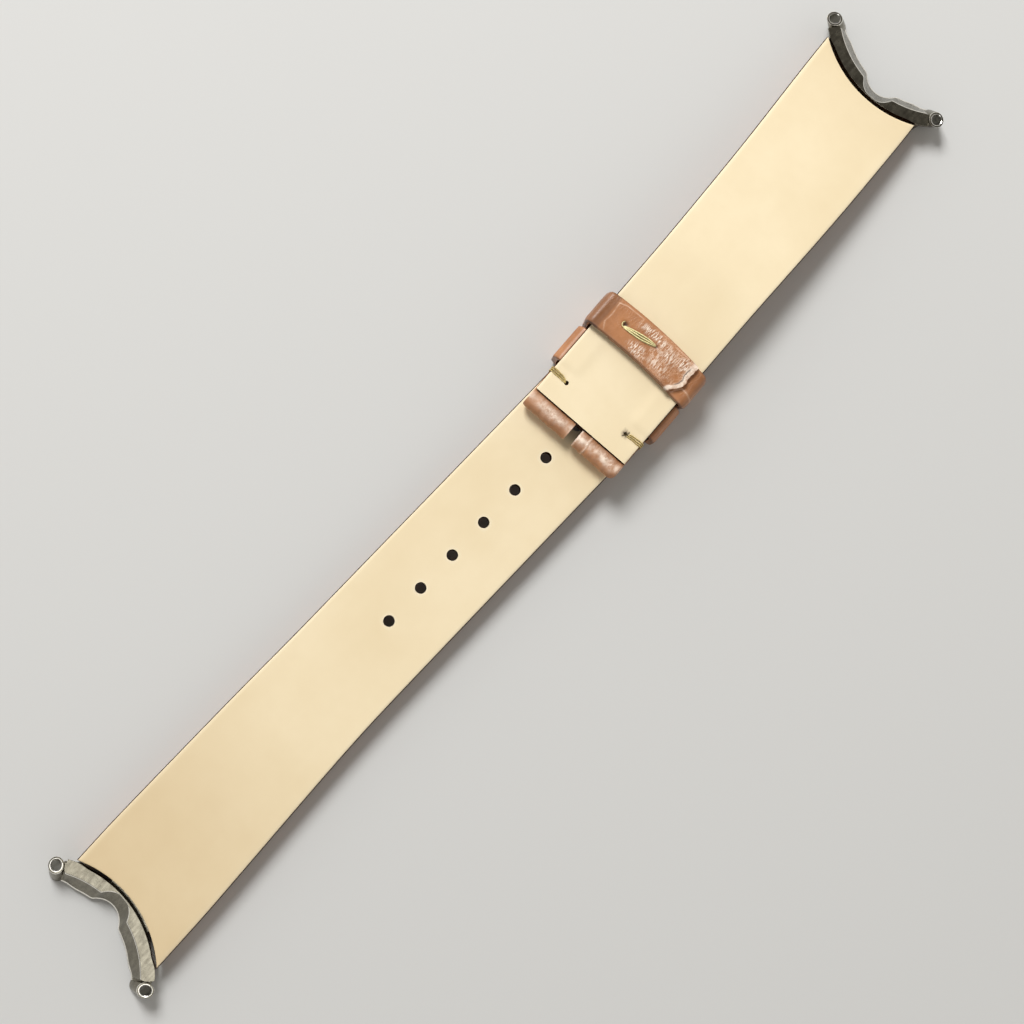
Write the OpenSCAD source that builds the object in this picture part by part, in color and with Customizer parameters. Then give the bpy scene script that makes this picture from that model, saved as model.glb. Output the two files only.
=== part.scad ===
// Two-piece leather watch strap, lying face down with its lining upwards.
// The short half runs along +X from its folded buckle end. The long half runs along -X,
// and its tip lies under the short half, through the fixed and the free keeper.
// The origin is the middle of the buckle bar tunnel, in the short half's folded end.

/* [Lengths] */
// Length of the short half, from its folded end to the middle of its lug end
short_len = 74; // [66:1:90]
// Length of the long half, from its tip to the middle of its lug end
long_len = 120; // [110:1:140]
// Length of tip that lies past the short half's folded end
tuck_len = 24.5; // [23:0.5:30]
// Angle between the two halves, seen from above
halves_angle = 3.1; // [0:0.1:3.4]
// Angle by which the short half droops from its bend to its lug end
droop_angle = 4; // [0:0.5:4.5]
// Sideways sway of the short half's lug end, towards +Y
short_sway = 0.7; // [0:0.1:1]
// Sideways sway of the long half's lug end, towards -Y
long_sway = 1.1; // [0:0.1:1.5]

/* [Widths] */
// Width of both halves at the lugs
lug_w = 20; // [19.4:0.1:21]
// Width of the short half at its buckle end
buckle_w = 18.2; // [18:0.1:18.6]
// Width of the long half behind its tip
tip_w = 17.9; // [16:0.1:18]
// Length of the rounded nose of the tip
nose_len = 11; // [8:0.5:14]
// Pointedness of the nose, where 0.5 is a plain ellipse
nose_power = 0.58; // [0.5:0.02:0.7]
// Length over which each half widens to its lug end
widening_len = 38; // [20:1:41]
// Length of full width before the middle of the short half's lug end
short_full_len = 2; // [0:0.5:5]
// Length of full width before the middle of the long half's lug end
long_full_len = 6; // [0:0.5:8]

/* [Thicknesses] */
// Thickness of the short half at its buckle end
buckle_t = 2.75; // [2.6:0.05:3]
// Thickness of the long half at its tip
tip_t = 2.3; // [2.2:0.05:2.8]
// Thickness of both halves at the lugs
lug_t = 3.4; // [3.2:0.05:3.6]
// Thickness of the outer skin
skin_t = 0.8; // [0.6:0.05:0.85]
// Width of the skin's edge, where it is turned up round the padding
edge_t = 0.8; // [0.5:0.05:1]
// Thickness of the lining
lining_t = 0.85; // [0.7:0.05:0.9]
// Step from the skin's edge to the lining's edge
lining_step = 0.15; // [0.05:0.05:0.3]
// Radius of the crown across the skin's outer face
crown_r = 70; // [50:5:120]
// Space left for glue round the padding
glue_gap = 0.04; // [0.02:0.01:0.08]

/* [Folded buckle end] */
// Radius of the tunnel for the buckle bar
bar_bore_r = 0.8; // [0.7:0.05:0.9]
// Thickness of the skin round the tunnel
fold_t = 0.6; // [0.5:0.05:0.7]
// Width of the slot for the buckle's tongue
slot_w = 1.45; // [1:0.05:2]
// Length of the tongue slot on the front, from the tunnel's middle
slot_front = 3.5; // [2:0.1:4]
// Start of the lining, from the tunnel's middle
lining_start = 1.7; // [1.5:0.1:2.2]
// End of the solid edge behind the tunnel, from its middle
fold_block = 2.4; // [2.3:0.1:3]
// End of the skin's glued return flap, from the tunnel's middle
flap_end = 6.4; // [6.2:0.1:6.8]
// Thickness of the return flap
flap_t = 0.45; // [0.3:0.05:0.5]
// Height of the fold's outside above the lining's underside, where the lining starts
fold_crest = 0.35; // [0.2:0.05:0.5]
// Angle round the tunnel where the fold's round outside ends
fold_angle = 68; // [60:1:75]
// Chamfer at the corners of the folded end
fold_chamfer = 0.4; // [0.2:0.1:0.6]

/* [Keepers] */
// Start of the fixed keeper, from the tunnel's middle
fixed_start = 7.5; // [7.1:0.1:8]
// Width of the fixed keeper
fixed_w = 6.5; // [5:0.1:7]
// Space between the two keepers at rest
keeper_space = 0.7; // [0.4:0.1:1.5]
// Width of the free keeper
free_w = 6.2; // [5:0.1:7]
// Thickness of both keepers
keeper_t = 1; // [0.8:0.05:1.2]
// Free width inside both keepers, past the buckle end's width
keeper_ease = 0.6; // [0.6:0.05:0.8]
// Outer corner radius of the keepers
keeper_round = 1.1; // [0.6:0.1:1.3]
// Space between the long half and the keepers' front
keeper_gap = 0.15; // [0.1:0.05:0.3]
// Space between the lining and the free keeper's back
back_gap = 0.2; // [0.15:0.05:0.4]
// Space between the two halves
halves_gap = 0.3; // [0.2:0.05:0.5]
// Thickness of the fixed keeper's tucked ends
tab_t = 0.5; // [0.3:0.05:0.55]
// Length of the fixed keeper's tucked ends inside the strap's edge
tab_len = 3; // [2:0.1:4]
// Clearance round the tucked ends
tab_gap = 0.05; // [0.03:0.01:0.1]
// Thickness of each lap on the free keeper's back
lap_t = 0.57; // [0.4:0.01:0.7]
// Space between the two laps
lap_gap = 0.05; // [0.03:0.01:0.1]
// Distance of the outer lap's end from the middle, on the -Y side
lap_outer_y = 7.9; // [6:0.1:8]
// Distance of the inner lap's end from the middle, on the +Y side
lap_inner_y = 5.8; // [5.6:0.1:7]
// Travel of the free keeper along the short half
free_travel = 12; // [8:1:14]

/* [Tongue holes] */
// Number of holes in the long half
hole_count = 7; // [5:1:8]
// Distance between holes
hole_pitch = 7; // [6:0.25:7.5]
// Radius of a hole
hole_r = 0.9; // [0.7:0.05:1.1]
// Distance of the first hole from the tip
tip_to_hole = 21.2; // [20:0.1:23]

/* [Stitches] */
// Radius of one strand of thread
thread_r = 0.17; // [0.12:0.01:0.2]
// Radius of a bundle of strands inside its hole
bundle_r = 0.36; // [0.3:0.01:0.4]
// Clearance round a bundle and under a strand
thread_gap = 0.03; // [0.02:0.01:0.05]
// Strands in each side stitch
side_strands = 3; // [2:1:3]
// Distance of the side stitches from the tunnel's middle
side_stitch_x = 5.4; // [5.2:0.1:5.6]
// Reach of a side stitch from the strap's edge
side_stitch_len = 3.1; // [2:0.1:4]
// Strands in the free keeper's stitch
keeper_strands = 4; // [2:1:4]
// Length of the free keeper's stitch
keeper_stitch_len = 5.4; // [4:0.1:6]
// Middle of the free keeper's stitch, from the middle of the strap
keeper_stitch_y = 2.2; // [1.5:0.1:2.5]

/* [Metal end pieces] */
// Radius of the concave end of the leather
arc_r = 18.4; // [17:0.1:20]
// Gap between the leather and the metal
end_gap = 0.45; // [0.2:0.05:0.6]
// Height of the metal end pieces
end_h = 3.2; // [2.8:0.1:3.3]
// Step of the metal below the lining's face
end_step = 0.05; // [0:0.05:0.2]
// Width of the flat face on the lining side
end_face_w = 1.85; // [1.5:0.05:2.2]
// Reach of the sloping outer face past the flat one
end_slope = 2.2; // [1:0.1:2.4]
// Height of the upright lip under the sloping face
end_lip = 0.7; // [0.3:0.1:0.8]
// Distance between the two eyes
eye_spacing = 23; // [22.4:0.1:24]
// Outer radius of an eye on the lining side
eye_r = 1.2; // [1.1:0.05:1.3]
// Outer radius of an eye on the front side
eye_foot_r = 1.35; // [1.3:0.05:1.6]
// Radius of an eye's bore
eye_bore_r = 0.8; // [0.6:0.05:0.9]
// Lean of the eyes towards the middle of the arc, from the lining side down
eye_lean = 24; // [15:1:30]
// Radius of the notch
notch_r = 3.3; // [2:0.1:3.5]
// Distance of the notch from the middle, to the right when looking outwards
notch_offset = 1.25; // [0:0.05:1.5]
// Metal left between the notch and the leather side
notch_web = 0.3; // [0.2:0.05:0.6]
// Length of the anchor tang inside the leather
tang_len = 5.4; // [4:0.1:7]
// Thickness of the anchor tang
tang_t = 0.9; // [0.6:0.1:1]
// Half angle of the anchor tang about the middle of the arc
tang_half_angle = 15; // [10:1:17]
// Turn of the long half's end piece in the strap's plane
long_end_turn = 10.5; // [0:0.5:11]
// Turn of the short half's end piece in the strap's plane
short_end_turn = 4; // [0:0.5:6]
// Shift of the long half's end piece from the middle of the leather, towards -Y
long_end_shift = 0.8; // [0:0.1:1]

/* [Hidden] */

skin_colour = [0.70, 0.50, 0.40];
lining_colour = [0.97, 0.90, 0.76];
padding_colour = [0.55, 0.40, 0.28];
metal_colour = [0.42, 0.42, 0.40];
thread_colour = [0.66, 0.56, 0.30];

// Facets of small and of large rounds
small_fn = 48;
large_fn = 360;
// Overlap of a cutting shape past the face it cuts
eps = 0.01;
// Length by which long cutting shapes run past the strap
reach = 10;
// Width of shapes that span the whole strap
span = 2 * lug_w;
// Points along one side of the nose
nose_steps = 20;

// Heights of the short half, from the tunnel's middle
fold_r = bar_bore_r + fold_t;
short_front_z = -fold_r;
short_back_z = short_front_z + buckle_t;
short_seat_z = short_back_z - lining_t;

// Heights of the long half and of the keepers' front
long_back_z = short_front_z - halves_gap;
keeper_in_z = long_back_z - tip_t - keeper_gap;
keeper_out_z = keeper_in_z - keeper_t;

// Places along the short half
fold_x = -fold_r;
fixed_end = fixed_start + fixed_w;
free_start = fixed_end + keeper_space;
free_end = free_start + free_w;
keeper_mid_x = (free_start + free_end) / 2;
bend_margin = 1.5;
short_bend_a = free_end + free_travel + bend_margin;
short_end_x = short_len - fold_r;
short_bend_b = (short_bend_a + short_end_x) / 2;
short_full_x = short_end_x - short_full_len;

// Length past the middle of a lug end that holds the corners of its arc
corner_len = arc_r / 2;
// Length by which the drooping part starts before its bend, to be cut upright there
run_in = 1;

// Places along the long half, in its own frame
tip_x = tuck_len - fold_r;
long_end_x = tip_x - long_len;
long_full_x = long_end_x + long_full_len;
// The first bend lies halfway between two holes
bend_hole = 3.5;
long_bend_a = hole_x(bend_hole);
long_bend_b = (long_bend_a + long_end_x) / 2;

// The halves cross in the middle of the fixed keeper
cross_x = fixed_start + fixed_w / 2;

// Keepers and stitches across the strap
keeper_in_w = buckle_w + keeper_ease;
keeper_out_w = keeper_in_w + 2 * keeper_t;
free_in_z = short_back_z + back_gap;
free_out_z = free_in_z + 2 * lap_t + lap_gap;
tab_top_z = short_seat_z - tab_gap;
tab_low_z = tab_top_z - tab_t;
tab_in_y = buckle_w / 2 - tab_len;
stitch_in_y = buckle_w / 2 - side_stitch_len;
hole_bundle_r = bundle_r + thread_gap;
// Strands side by side are pressed together by a tenth
strand_press = 0.9;
strand_pitch = 2 * thread_r * strand_press;
strand_rise = thread_r + thread_gap;

// Metal end piece, about the middle of the leather's arc
metal_in_r = arc_r - end_gap;
metal_face_r = metal_in_r - end_face_w;
metal_low_r = metal_face_r - end_slope;
eye_path_r = metal_in_r - end_face_w / 2;
eye_angle = asin(eye_spacing / 2 / eye_path_r);
// Depth by which the band reaches into an eye, and the tang into the band
root = 0.2;
band_angle = eye_angle - asin((eye_bore_r + root) / eye_path_r);
// Length of an eye's barrel past each face, before it is cut level
eye_overrun = eye_foot_r;
notch_tilt = atan(end_slope / (end_h - end_lip));
notch_x = end_gap + notch_web + notch_r / cos(notch_tilt);
tang_z = -(lining_t + lug_t - skin_t) / 2;
tang_end_r = arc_r + tang_len;

// Place of a hole along the long half, counted from the tip
function hole_x(number) = tip_x - tip_to_hole - number * hole_pitch;

// Value that runs from a to b while x runs from x0 to x1
function ramp(x, x0, x1, a, b) = a + (b - a) * max(0, min(1, (x - x0) / (x1 - x0)));

// Half the width of each half at a place along it
short_half_w = function(x) ramp(x, short_full_x - widening_len, short_full_x, buckle_w, lug_w) / 2;
long_half_w = function(x) ramp(x, long_full_x + widening_len, long_full_x, tip_w, lug_w) / 2;

// Sideways place of each half's middle, which sways past its second bend
short_mid_y = function(x) short_sway * max(0, (x - short_bend_b) / (short_end_x - short_bend_b));
long_mid_y = function(x) -long_sway * max(0, (long_bend_b - x) / (long_bend_b - long_end_x));

// Points of a strap outline with a given middle and half width, from place a to place b
function outline(a, b, marks, mid_y, half_w, inset) =
    let(places = concat([a], [for (m = marks) if (m > a && m < b) m], [b]))
    concat(
        [for (x = places) [x, mid_y(x) + half_w(x) - inset]],
        [for (i = [len(places) - 1 : -1 : 0]) let(x = places[i]) [x, mid_y(x) + inset - half_w(x)]]
    );

// Outline of a stretch of the short half
module short_plan(a, b, inset) {
    marks = [short_full_x - widening_len, short_bend_b, short_full_x];
    polygon(outline(a, b, marks, short_mid_y, short_half_w, inset));
}

// Outline of a stretch of the long half that has its lug end to the -X side
module long_plan(a, b, inset) {
    marks = [long_full_x, long_bend_b, long_full_x + widening_len];
    polygon(outline(a, b, marks, long_mid_y, long_half_w, inset));
}

// Outline of the tip, whose nose follows a slightly pointed ellipse
module tip_plan(a, inset) {
    nose_x = tip_x - nose_len - inset;
    wide = tip_w / 2 - inset;
    side = [for (k = [0 : nose_steps]) let(t = 90 * k / nose_steps)
        [nose_x + nose_len * sin(t), wide * pow(cos(t), 2 * nose_power)]];
    lower = [for (i = [nose_steps - 1 : -1 : 0]) [side[i][0], -side[i][1]]];
    polygon(concat([[a, wide]], side, lower, [[a, -wide]]));
}

// Long barrel whose lowest line runs from [x0, z0] to [x1, z1]
module crown(x0, z0, x1, z1, shrink) {
    tilt = atan((z0 - z1) / (x1 - x0));
    translate([x0, 0, z0])
        rotate([0, tilt, 0])
            translate([-reach, 0, crown_r])
                rotate([0, 90, 0])
                    cylinder(r = crown_r - shrink, h = x1 - x0 + 2 * reach, $fn = large_fn);
}

// Slab between two heights with the outline of the children
module slab(low, high) {
    translate([0, 0, low])
        linear_extrude(high - low)
            children();
}

// Section drawn in X and Z and carried across the strap
module across(width) {
    rotate([90, 0, 0])
        linear_extrude(width, center = true)
            children();
}

// Section drawn in Y and Z and carried along the strap from a to b
module along(a, b) {
    translate([a, 0, 0])
        rotate([90, 0, 90])
            linear_extrude(b - a)
                children();
}

// Block that spans the whole width and height between two places
module block(a, b, low, high) {
    translate([a, -span / 2, low])
        cube([b - a, span, high - low]);
}

// Frame of the short half past its first bend, with its origin on the lining's face
module short_frame() {
    translate([short_bend_a, 0, short_back_z])
        rotate([0, droop_angle, 0])
            translate([-short_bend_a, 0, 0])
                children();
}

// Part of the short half past its first bend, cut upright where it meets the buckle stretch
module past_bend() {
    intersection() {
        short_frame()
            children();
        block(short_bend_a, short_end_x + reach, keeper_out_z - reach, free_out_z);
    }
}

// Frame of the long half, turned about the point where the halves cross
module long_frame() {
    translate([cross_x, 0, long_back_z])
        rotate([0, 0, -halves_angle])
            translate([-cross_x, 0, 0])
                children();
}

// Frame of the short half's metal end piece, with its origin on the leather's arc
module short_end_frame() {
    translate([short_end_x, short_sway, 0])
        rotate([0, 0, -short_end_turn])
            children();
}

// Frame of the long half's metal end piece, with its origin on the leather's arc
module long_end_frame() {
    translate([long_end_x, -long_sway - long_end_shift, 0])
        rotate([0, 0, 180 - long_end_turn])
            children();
}

// Round cut that shapes the concave lug end
module arc_cut(radius) {
    translate([arc_r, 0, -lug_t - reach])
        cylinder(r = radius, h = lug_t + 2 * reach, $fn = large_fn);
}

// Sector of a ring whose section is drawn in radius and height
module arc_sector(half_angle) {
    translate([arc_r, 0, 0])
        rotate([0, 0, 180 - half_angle])
            rotate_extrude(angle = 2 * half_angle, $fn = large_fn)
                children();
}

// Anchor tang of a metal end piece, or the pocket for it
module tang(gap) {
    arc_sector(tang_half_angle + atan(gap / arc_r))
        translate([metal_in_r - root, tang_z - tang_t / 2 - gap])
            square([tang_end_r - metal_in_r + root + gap, tang_t + 2 * gap]);
}

// Metal end piece, in its own frame
module end_piece() {
    top_z = -end_step;
    low_z = -end_step - end_h;
    color(metal_colour)
        difference() {
            union() {
                arc_sector(band_angle)
                    polygon([
                        [metal_in_r, top_z], [metal_face_r, top_z],
                        [metal_low_r, low_z + end_lip], [metal_low_r, low_z], [metal_in_r, low_z]
                    ]);
                intersection() {
                    for (side = [-1, 1])
                        eye_barrel(side, eye_foot_r, eye_r);
                    translate([-eye_spacing, -eye_spacing, low_z])
                        cube([2 * eye_spacing, 2 * eye_spacing, end_h]);
                }
                tang(0);
            }
            for (side = [-1, 1])
                eye_barrel(side, eye_bore_r, eye_bore_r);
            translate([notch_x, -notch_offset, top_z])
                rotate([0, -notch_tilt, 0])
                    cylinder(r = notch_r, h = 4 * end_h, center = true, $fn = small_fn);
        }
}

// Round barrel at the place of one eye, longer than the end piece is high; it leans like the watch's screws
module eye_barrel(side, low_r, high_r) {
    length = end_h / cos(eye_lean);
    growth = (low_r - high_r) / length * eye_overrun;
    translate([arc_r, 0, -end_step])
        rotate([0, 0, 180 + side * eye_angle])
            translate([eye_path_r, 0, 0])
                rotate([0, eye_lean, 0])
                    translate([0, 0, -length - eye_overrun])
                        cylinder(
                            r1 = low_r + growth, r2 = high_r - growth,
                            h = length + 2 * eye_overrun, $fn = small_fn
                        );
}

// Upright holes for the tongue, between two places along the long half
module tongue_holes(a, b) {
    for (number = [0 : hole_count - 1])
        if (hole_x(number) > a && hole_x(number) < b)
            translate([hole_x(number), 0, -lug_t - reach])
                cylinder(r = hole_r, h = lug_t + 2 * reach, $fn = small_fn);
}

// Upright holes of the side stitches
module side_stitch_holes() {
    for (side = [-1, 1])
        translate([side_stitch_x, side * stitch_in_y, short_front_z - eps])
            cylinder(r = hole_bundle_r, h = buckle_t + 2 * eps, $fn = small_fn);
}

// Room for the fixed keeper's tucked ends, open towards the lining
module tab_pockets() {
    difference() {
        block(fixed_start - tab_gap, fixed_end + tab_gap, tab_low_z - tab_gap, short_seat_z + eps);
        along(fixed_start - 2 * tab_gap, fixed_end + 2 * tab_gap)
            translate([tab_gap - tab_in_y, tab_low_z - reach])
                square([2 * (tab_in_y - tab_gap), 2 * reach]);
    }
}

// Outer shape of the short half's skin at the buckle end
module buckle_skin_shape() {
    block(0, fixed_start, short_front_z, short_seat_z);
    intersection() {
        block(fixed_start - eps, short_bend_a, short_front_z - eps, short_seat_z);
        crown(0, short_front_z, short_end_x, short_front_z, 0);
    }
    across(span) {
        circle(r = fold_r, $fn = small_fn);
        polygon([
            [0, -fold_r], [fold_block, -fold_r], [fold_block, short_seat_z],
            [lining_start, short_seat_z], [lining_start, short_seat_z + fold_crest],
            [fold_r * cos(fold_angle), fold_r * sin(fold_angle)]
        ]);
    }
}

// Space inside the buckle end's skin, with its flat floor at the fold and its crown behind
module buckle_pocket_shape(gap) {
    floor_z = short_front_z + skin_t + gap;
    block(fold_block + gap, fixed_start, floor_z, short_seat_z);
    intersection() {
        block(fixed_start - eps, short_bend_a, floor_z, short_seat_z);
        crown(0, short_front_z, short_end_x, short_front_z, skin_t + gap);
    }
}

module short_skin_buckle() {
    color(skin_colour)
        difference() {
            intersection() {
                buckle_skin_shape();
                slab(short_front_z - eps, short_back_z)
                    fold_plan();
            }
            difference() {
                intersection() {
                    buckle_pocket_shape(0);
                    slab(short_front_z, short_seat_z + eps)
                        short_plan(fold_block, short_bend_a + eps, edge_t);
                }
                block(0, flap_end, short_seat_z - flap_t, short_seat_z + reach);
            }
            across(span)
                circle(r = bar_bore_r, $fn = small_fn);
            translate([fold_x - eps, -slot_w / 2, -fold_r - eps])
                cube([lining_start - fold_x + eps, slot_w, 2 * fold_r + 2 * eps]);
            translate([0, -slot_w / 2, -fold_r - eps])
                cube([slot_front, slot_w, skin_t + 2 * eps]);
            side_stitch_holes();
            side_stitch_grooves();
            tab_pockets();
        }
}

// Outline of the buckle stretch with chamfered corners at the fold
module fold_plan() {
    wide = buckle_w / 2;
    polygon([
        [fold_x, wide - fold_chamfer], [fold_x + fold_chamfer, wide], [0, wide],
        [0, -wide], [fold_x + fold_chamfer, -wide], [fold_x, fold_chamfer - wide]
    ]);
    short_plan(-eps, short_bend_a, 0);
}

// Grooves that sink the side stitches into the front of the skin
module side_stitch_grooves() {
    groove_w = strand_pitch * (side_strands - 1) + 2 * strand_rise;
    for (side = [-1, 1])
        translate([side_stitch_x - groove_w / 2, side > 0 ? stitch_in_y : -span / 2, short_front_z - eps])
            cube([groove_w, span / 2 - stitch_in_y, 2 * strand_rise + eps]);
}

module short_padding_buckle() {
    color(padding_colour)
        difference() {
            intersection() {
                buckle_pocket_shape(glue_gap);
                slab(short_front_z, short_seat_z)
                    short_plan(fold_block, short_bend_a, edge_t + glue_gap);
            }
            block(0, flap_end + glue_gap, short_seat_z - flap_t - glue_gap, short_seat_z + reach);
            side_stitch_holes();
            tab_pockets();
            translate([0, -slot_w / 2 - glue_gap, -fold_r - eps])
                cube([slot_front + glue_gap, slot_w + 2 * glue_gap, buckle_t]);
        }
}

module short_lining_buckle() {
    color(lining_colour)
        difference() {
            slab(short_seat_z, short_back_z)
                short_plan(lining_start, short_bend_a, lining_step);
            side_stitch_holes();
        }
}

// Skin of a stretch of the short half past its first bend, in the drooping frame
module short_skin_past(a, b) {
    difference() {
        intersection() {
            slab(-lug_t - reach, -lining_t)
                short_plan(a, b, 0);
            crown(short_bend_a, -buckle_t, short_end_x, -lug_t, 0);
        }
        intersection() {
            slab(-lug_t - reach, -lining_t + eps)
                short_plan(a - reach, b + reach, edge_t);
            crown(short_bend_a, -buckle_t, short_end_x, -lug_t, skin_t);
            difference() {
                block(a - reach, b + reach, -lug_t - reach, reach);
                short_end_frame()
                    arc_cut(arc_r + edge_t);
            }
        }
    }
}

// Padding of a stretch of the short half past its first bend, in the drooping frame
module short_padding_past(a, b) {
    intersection() {
        slab(-lug_t - reach, -lining_t)
            short_plan(a, b, edge_t + glue_gap);
        crown(short_bend_a, -buckle_t, short_end_x, -lug_t, skin_t + glue_gap);
    }
}

module short_skin_middle() {
    color(skin_colour)
        past_bend()
            short_skin_past(short_bend_a - run_in, short_bend_b);
}

module short_padding_middle() {
    color(padding_colour)
        past_bend()
            short_padding_past(short_bend_a - run_in, short_bend_b);
}

module short_lining_middle() {
    color(lining_colour)
        past_bend()
            slab(-lining_t, 0)
                short_plan(short_bend_a - run_in, short_bend_b, lining_step);
}

module short_skin_lug() {
    color(skin_colour)
        short_frame()
            difference() {
                short_skin_past(short_bend_b, short_end_x + corner_len);
                short_end_frame() {
                    arc_cut(arc_r);
                    tang(glue_gap);
                }
            }
}

module short_padding_lug() {
    color(padding_colour)
        short_frame()
            difference() {
                short_padding_past(short_bend_b, short_end_x + corner_len);
                short_end_frame() {
                    arc_cut(arc_r + edge_t + glue_gap);
                    tang(glue_gap);
                }
            }
}

module short_lining_lug() {
    color(lining_colour)
        short_frame()
            difference() {
                slab(-lining_t, 0)
                    short_plan(short_bend_b, short_end_x + corner_len, lining_step);
                short_end_frame()
                    arc_cut(arc_r);
            }
}

module short_end_piece() {
    short_frame()
        short_end_frame()
            end_piece();
}

// Rectangle with round corners, drawn in Y and Z
module band_outline(wide, low, high, corner) {
    for (y = [-1, 1], z = [low + corner, high - corner])
        translate([y * (wide / 2 - corner), z])
            circle(r = corner, $fn = small_fn);
    translate([-wide / 2 + corner, low])
        square([wide - 2 * corner, high - low]);
    translate([-wide / 2, low + corner])
        square([wide, high - low - 2 * corner]);
}

module fixed_keeper() {
    color(skin_colour)
        along(fixed_start, fixed_end)
            difference() {
                band_outline(keeper_out_w, keeper_out_z, tab_top_z, keeper_round);
                translate([-keeper_in_w / 2, keeper_in_z])
                    square([keeper_in_w, tab_low_z - keeper_in_z]);
                translate([-tab_in_y, keeper_in_z])
                    square([2 * tab_in_y, tab_top_z - keeper_in_z + reach]);
            }
}

// Side stitch that wraps the strap's edge, on the +Y side
module side_stitch() {
    edge_y = buckle_w / 2 + strand_rise;
    top_z = short_back_z + strand_rise;
    low_z = short_front_z + strand_rise;
    translate([side_stitch_x, stitch_in_y, low_z])
        cylinder(r = bundle_r, h = top_z - low_z, $fn = small_fn);
    for (i = [0 : side_strands - 1])
        translate([side_stitch_x + (i - (side_strands - 1) / 2) * strand_pitch, 0, 0]) {
            for (z = [low_z, top_z]) {
                translate([0, stitch_in_y, z])
                    rotate([-90, 0, 0])
                        cylinder(r = thread_r, h = edge_y - stitch_in_y, $fn = small_fn);
                translate([0, edge_y, z])
                    sphere(r = thread_r, $fn = small_fn);
            }
            translate([0, edge_y, low_z])
                cylinder(r = thread_r, h = top_z - low_z, $fn = small_fn);
        }
}

module left_side_stitch() {
    color(thread_colour)
        side_stitch();
}

module right_side_stitch() {
    color(thread_colour)
        mirror([0, 1, 0])
            side_stitch();
}

module free_keeper() {
    color(skin_colour)
        difference() {
            along(free_start, free_end)
                difference() {
                    band_outline(keeper_out_w, keeper_out_z, free_out_z, keeper_round);
                    translate([-keeper_in_w / 2, keeper_in_z])
                        square([keeper_in_w, free_in_z - keeper_in_z]);
                    translate([-keeper_out_w, free_out_z - lap_t])
                        square([keeper_out_w - lap_outer_y, lap_t + eps]);
                    translate([-lap_outer_y - eps, free_in_z + lap_t])
                        square([lap_outer_y + lap_inner_y, lap_gap]);
                }
            keeper_stitch_holes();
        }
}

// Upright holes at the two ends of the free keeper's stitch
module keeper_stitch_holes() {
    for (side = [-1, 1])
        translate([keeper_mid_x, keeper_stitch_y + side * keeper_stitch_len / 2, free_in_z - eps])
            cylinder(r = hole_bundle_r, h = free_out_z - free_in_z + 2 * eps, $fn = small_fn);
}

module keeper_stitch() {
    top_z = free_out_z + strand_rise;
    color(thread_colour)
        translate([keeper_mid_x, keeper_stitch_y, 0]) {
            for (i = [0 : keeper_strands - 1])
                translate([(i - (keeper_strands - 1) / 2) * strand_pitch, 0, top_z])
                    rotate([90, 0, 0])
                        cylinder(r = thread_r, h = keeper_stitch_len, center = true, $fn = small_fn);
            for (side = [-1, 1])
                translate([0, side * keeper_stitch_len / 2, free_in_z + thread_gap])
                    cylinder(r = bundle_r, h = top_z - free_in_z - thread_gap, $fn = small_fn);
        }
}

// Crown of the long half, level at the tip and deeper towards the lugs
module long_crown(shrink) {
    crown(long_end_x, -lug_t, long_bend_a, -tip_t, shrink);
}

module long_skin_tip() {
    color(skin_colour)
        long_frame()
            difference() {
                intersection() {
                    slab(-lug_t, -lining_t)
                        tip_plan(long_bend_a, 0);
                    crown(long_bend_a, -tip_t, tip_x, -tip_t, 0);
                }
                intersection() {
                    slab(-lug_t, -lining_t + eps)
                        tip_plan(long_bend_a - eps, edge_t);
                    crown(long_bend_a, -tip_t, tip_x, -tip_t, skin_t);
                }
                tongue_holes(long_bend_a, tip_x);
            }
}

module long_padding_tip() {
    color(padding_colour)
        long_frame()
            difference() {
                intersection() {
                    slab(-lug_t, -lining_t)
                        tip_plan(long_bend_a, edge_t + glue_gap);
                    crown(long_bend_a, -tip_t, tip_x, -tip_t, skin_t + glue_gap);
                }
                tongue_holes(long_bend_a, tip_x);
            }
}

module long_lining_tip() {
    color(lining_colour)
        long_frame()
            difference() {
                slab(-lining_t, 0)
                    tip_plan(long_bend_a, lining_step);
                tongue_holes(long_bend_a, tip_x);
            }
}

// Skin of a stretch of the long half behind its first bend
module long_skin_past(a, b) {
    difference() {
        intersection() {
            slab(-lug_t - reach, -lining_t)
                long_plan(a, b, 0);
            long_crown(0);
        }
        intersection() {
            slab(-lug_t - reach, -lining_t + eps)
                long_plan(a - reach, b + reach, edge_t);
            long_crown(skin_t);
            difference() {
                block(a - reach, b + reach, -lug_t - reach, reach);
                long_end_frame()
                    arc_cut(arc_r + edge_t);
            }
        }
        tongue_holes(a, b);
    }
}

// Padding of a stretch of the long half behind its first bend
module long_padding_past(a, b) {
    difference() {
        intersection() {
            slab(-lug_t - reach, -lining_t)
                long_plan(a, b, edge_t + glue_gap);
            long_crown(skin_t + glue_gap);
        }
        tongue_holes(a, b);
    }
}

module long_skin_middle() {
    color(skin_colour)
        long_frame()
            long_skin_past(long_bend_b, long_bend_a);
}

module long_padding_middle() {
    color(padding_colour)
        long_frame()
            long_padding_past(long_bend_b, long_bend_a);
}

module long_lining_middle() {
    color(lining_colour)
        long_frame()
            difference() {
                slab(-lining_t, 0)
                    long_plan(long_bend_b, long_bend_a, lining_step);
                tongue_holes(long_bend_b, long_bend_a);
            }
}

module long_skin_lug() {
    color(skin_colour)
        long_frame()
            difference() {
                long_skin_past(long_end_x - corner_len, long_bend_b);
                long_end_frame() {
                    arc_cut(arc_r);
                    tang(glue_gap);
                }
            }
}

module long_padding_lug() {
    color(padding_colour)
        long_frame()
            difference() {
                long_padding_past(long_end_x - corner_len, long_bend_b);
                long_end_frame() {
                    arc_cut(arc_r + edge_t + glue_gap);
                    tang(glue_gap);
                }
            }
}

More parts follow.
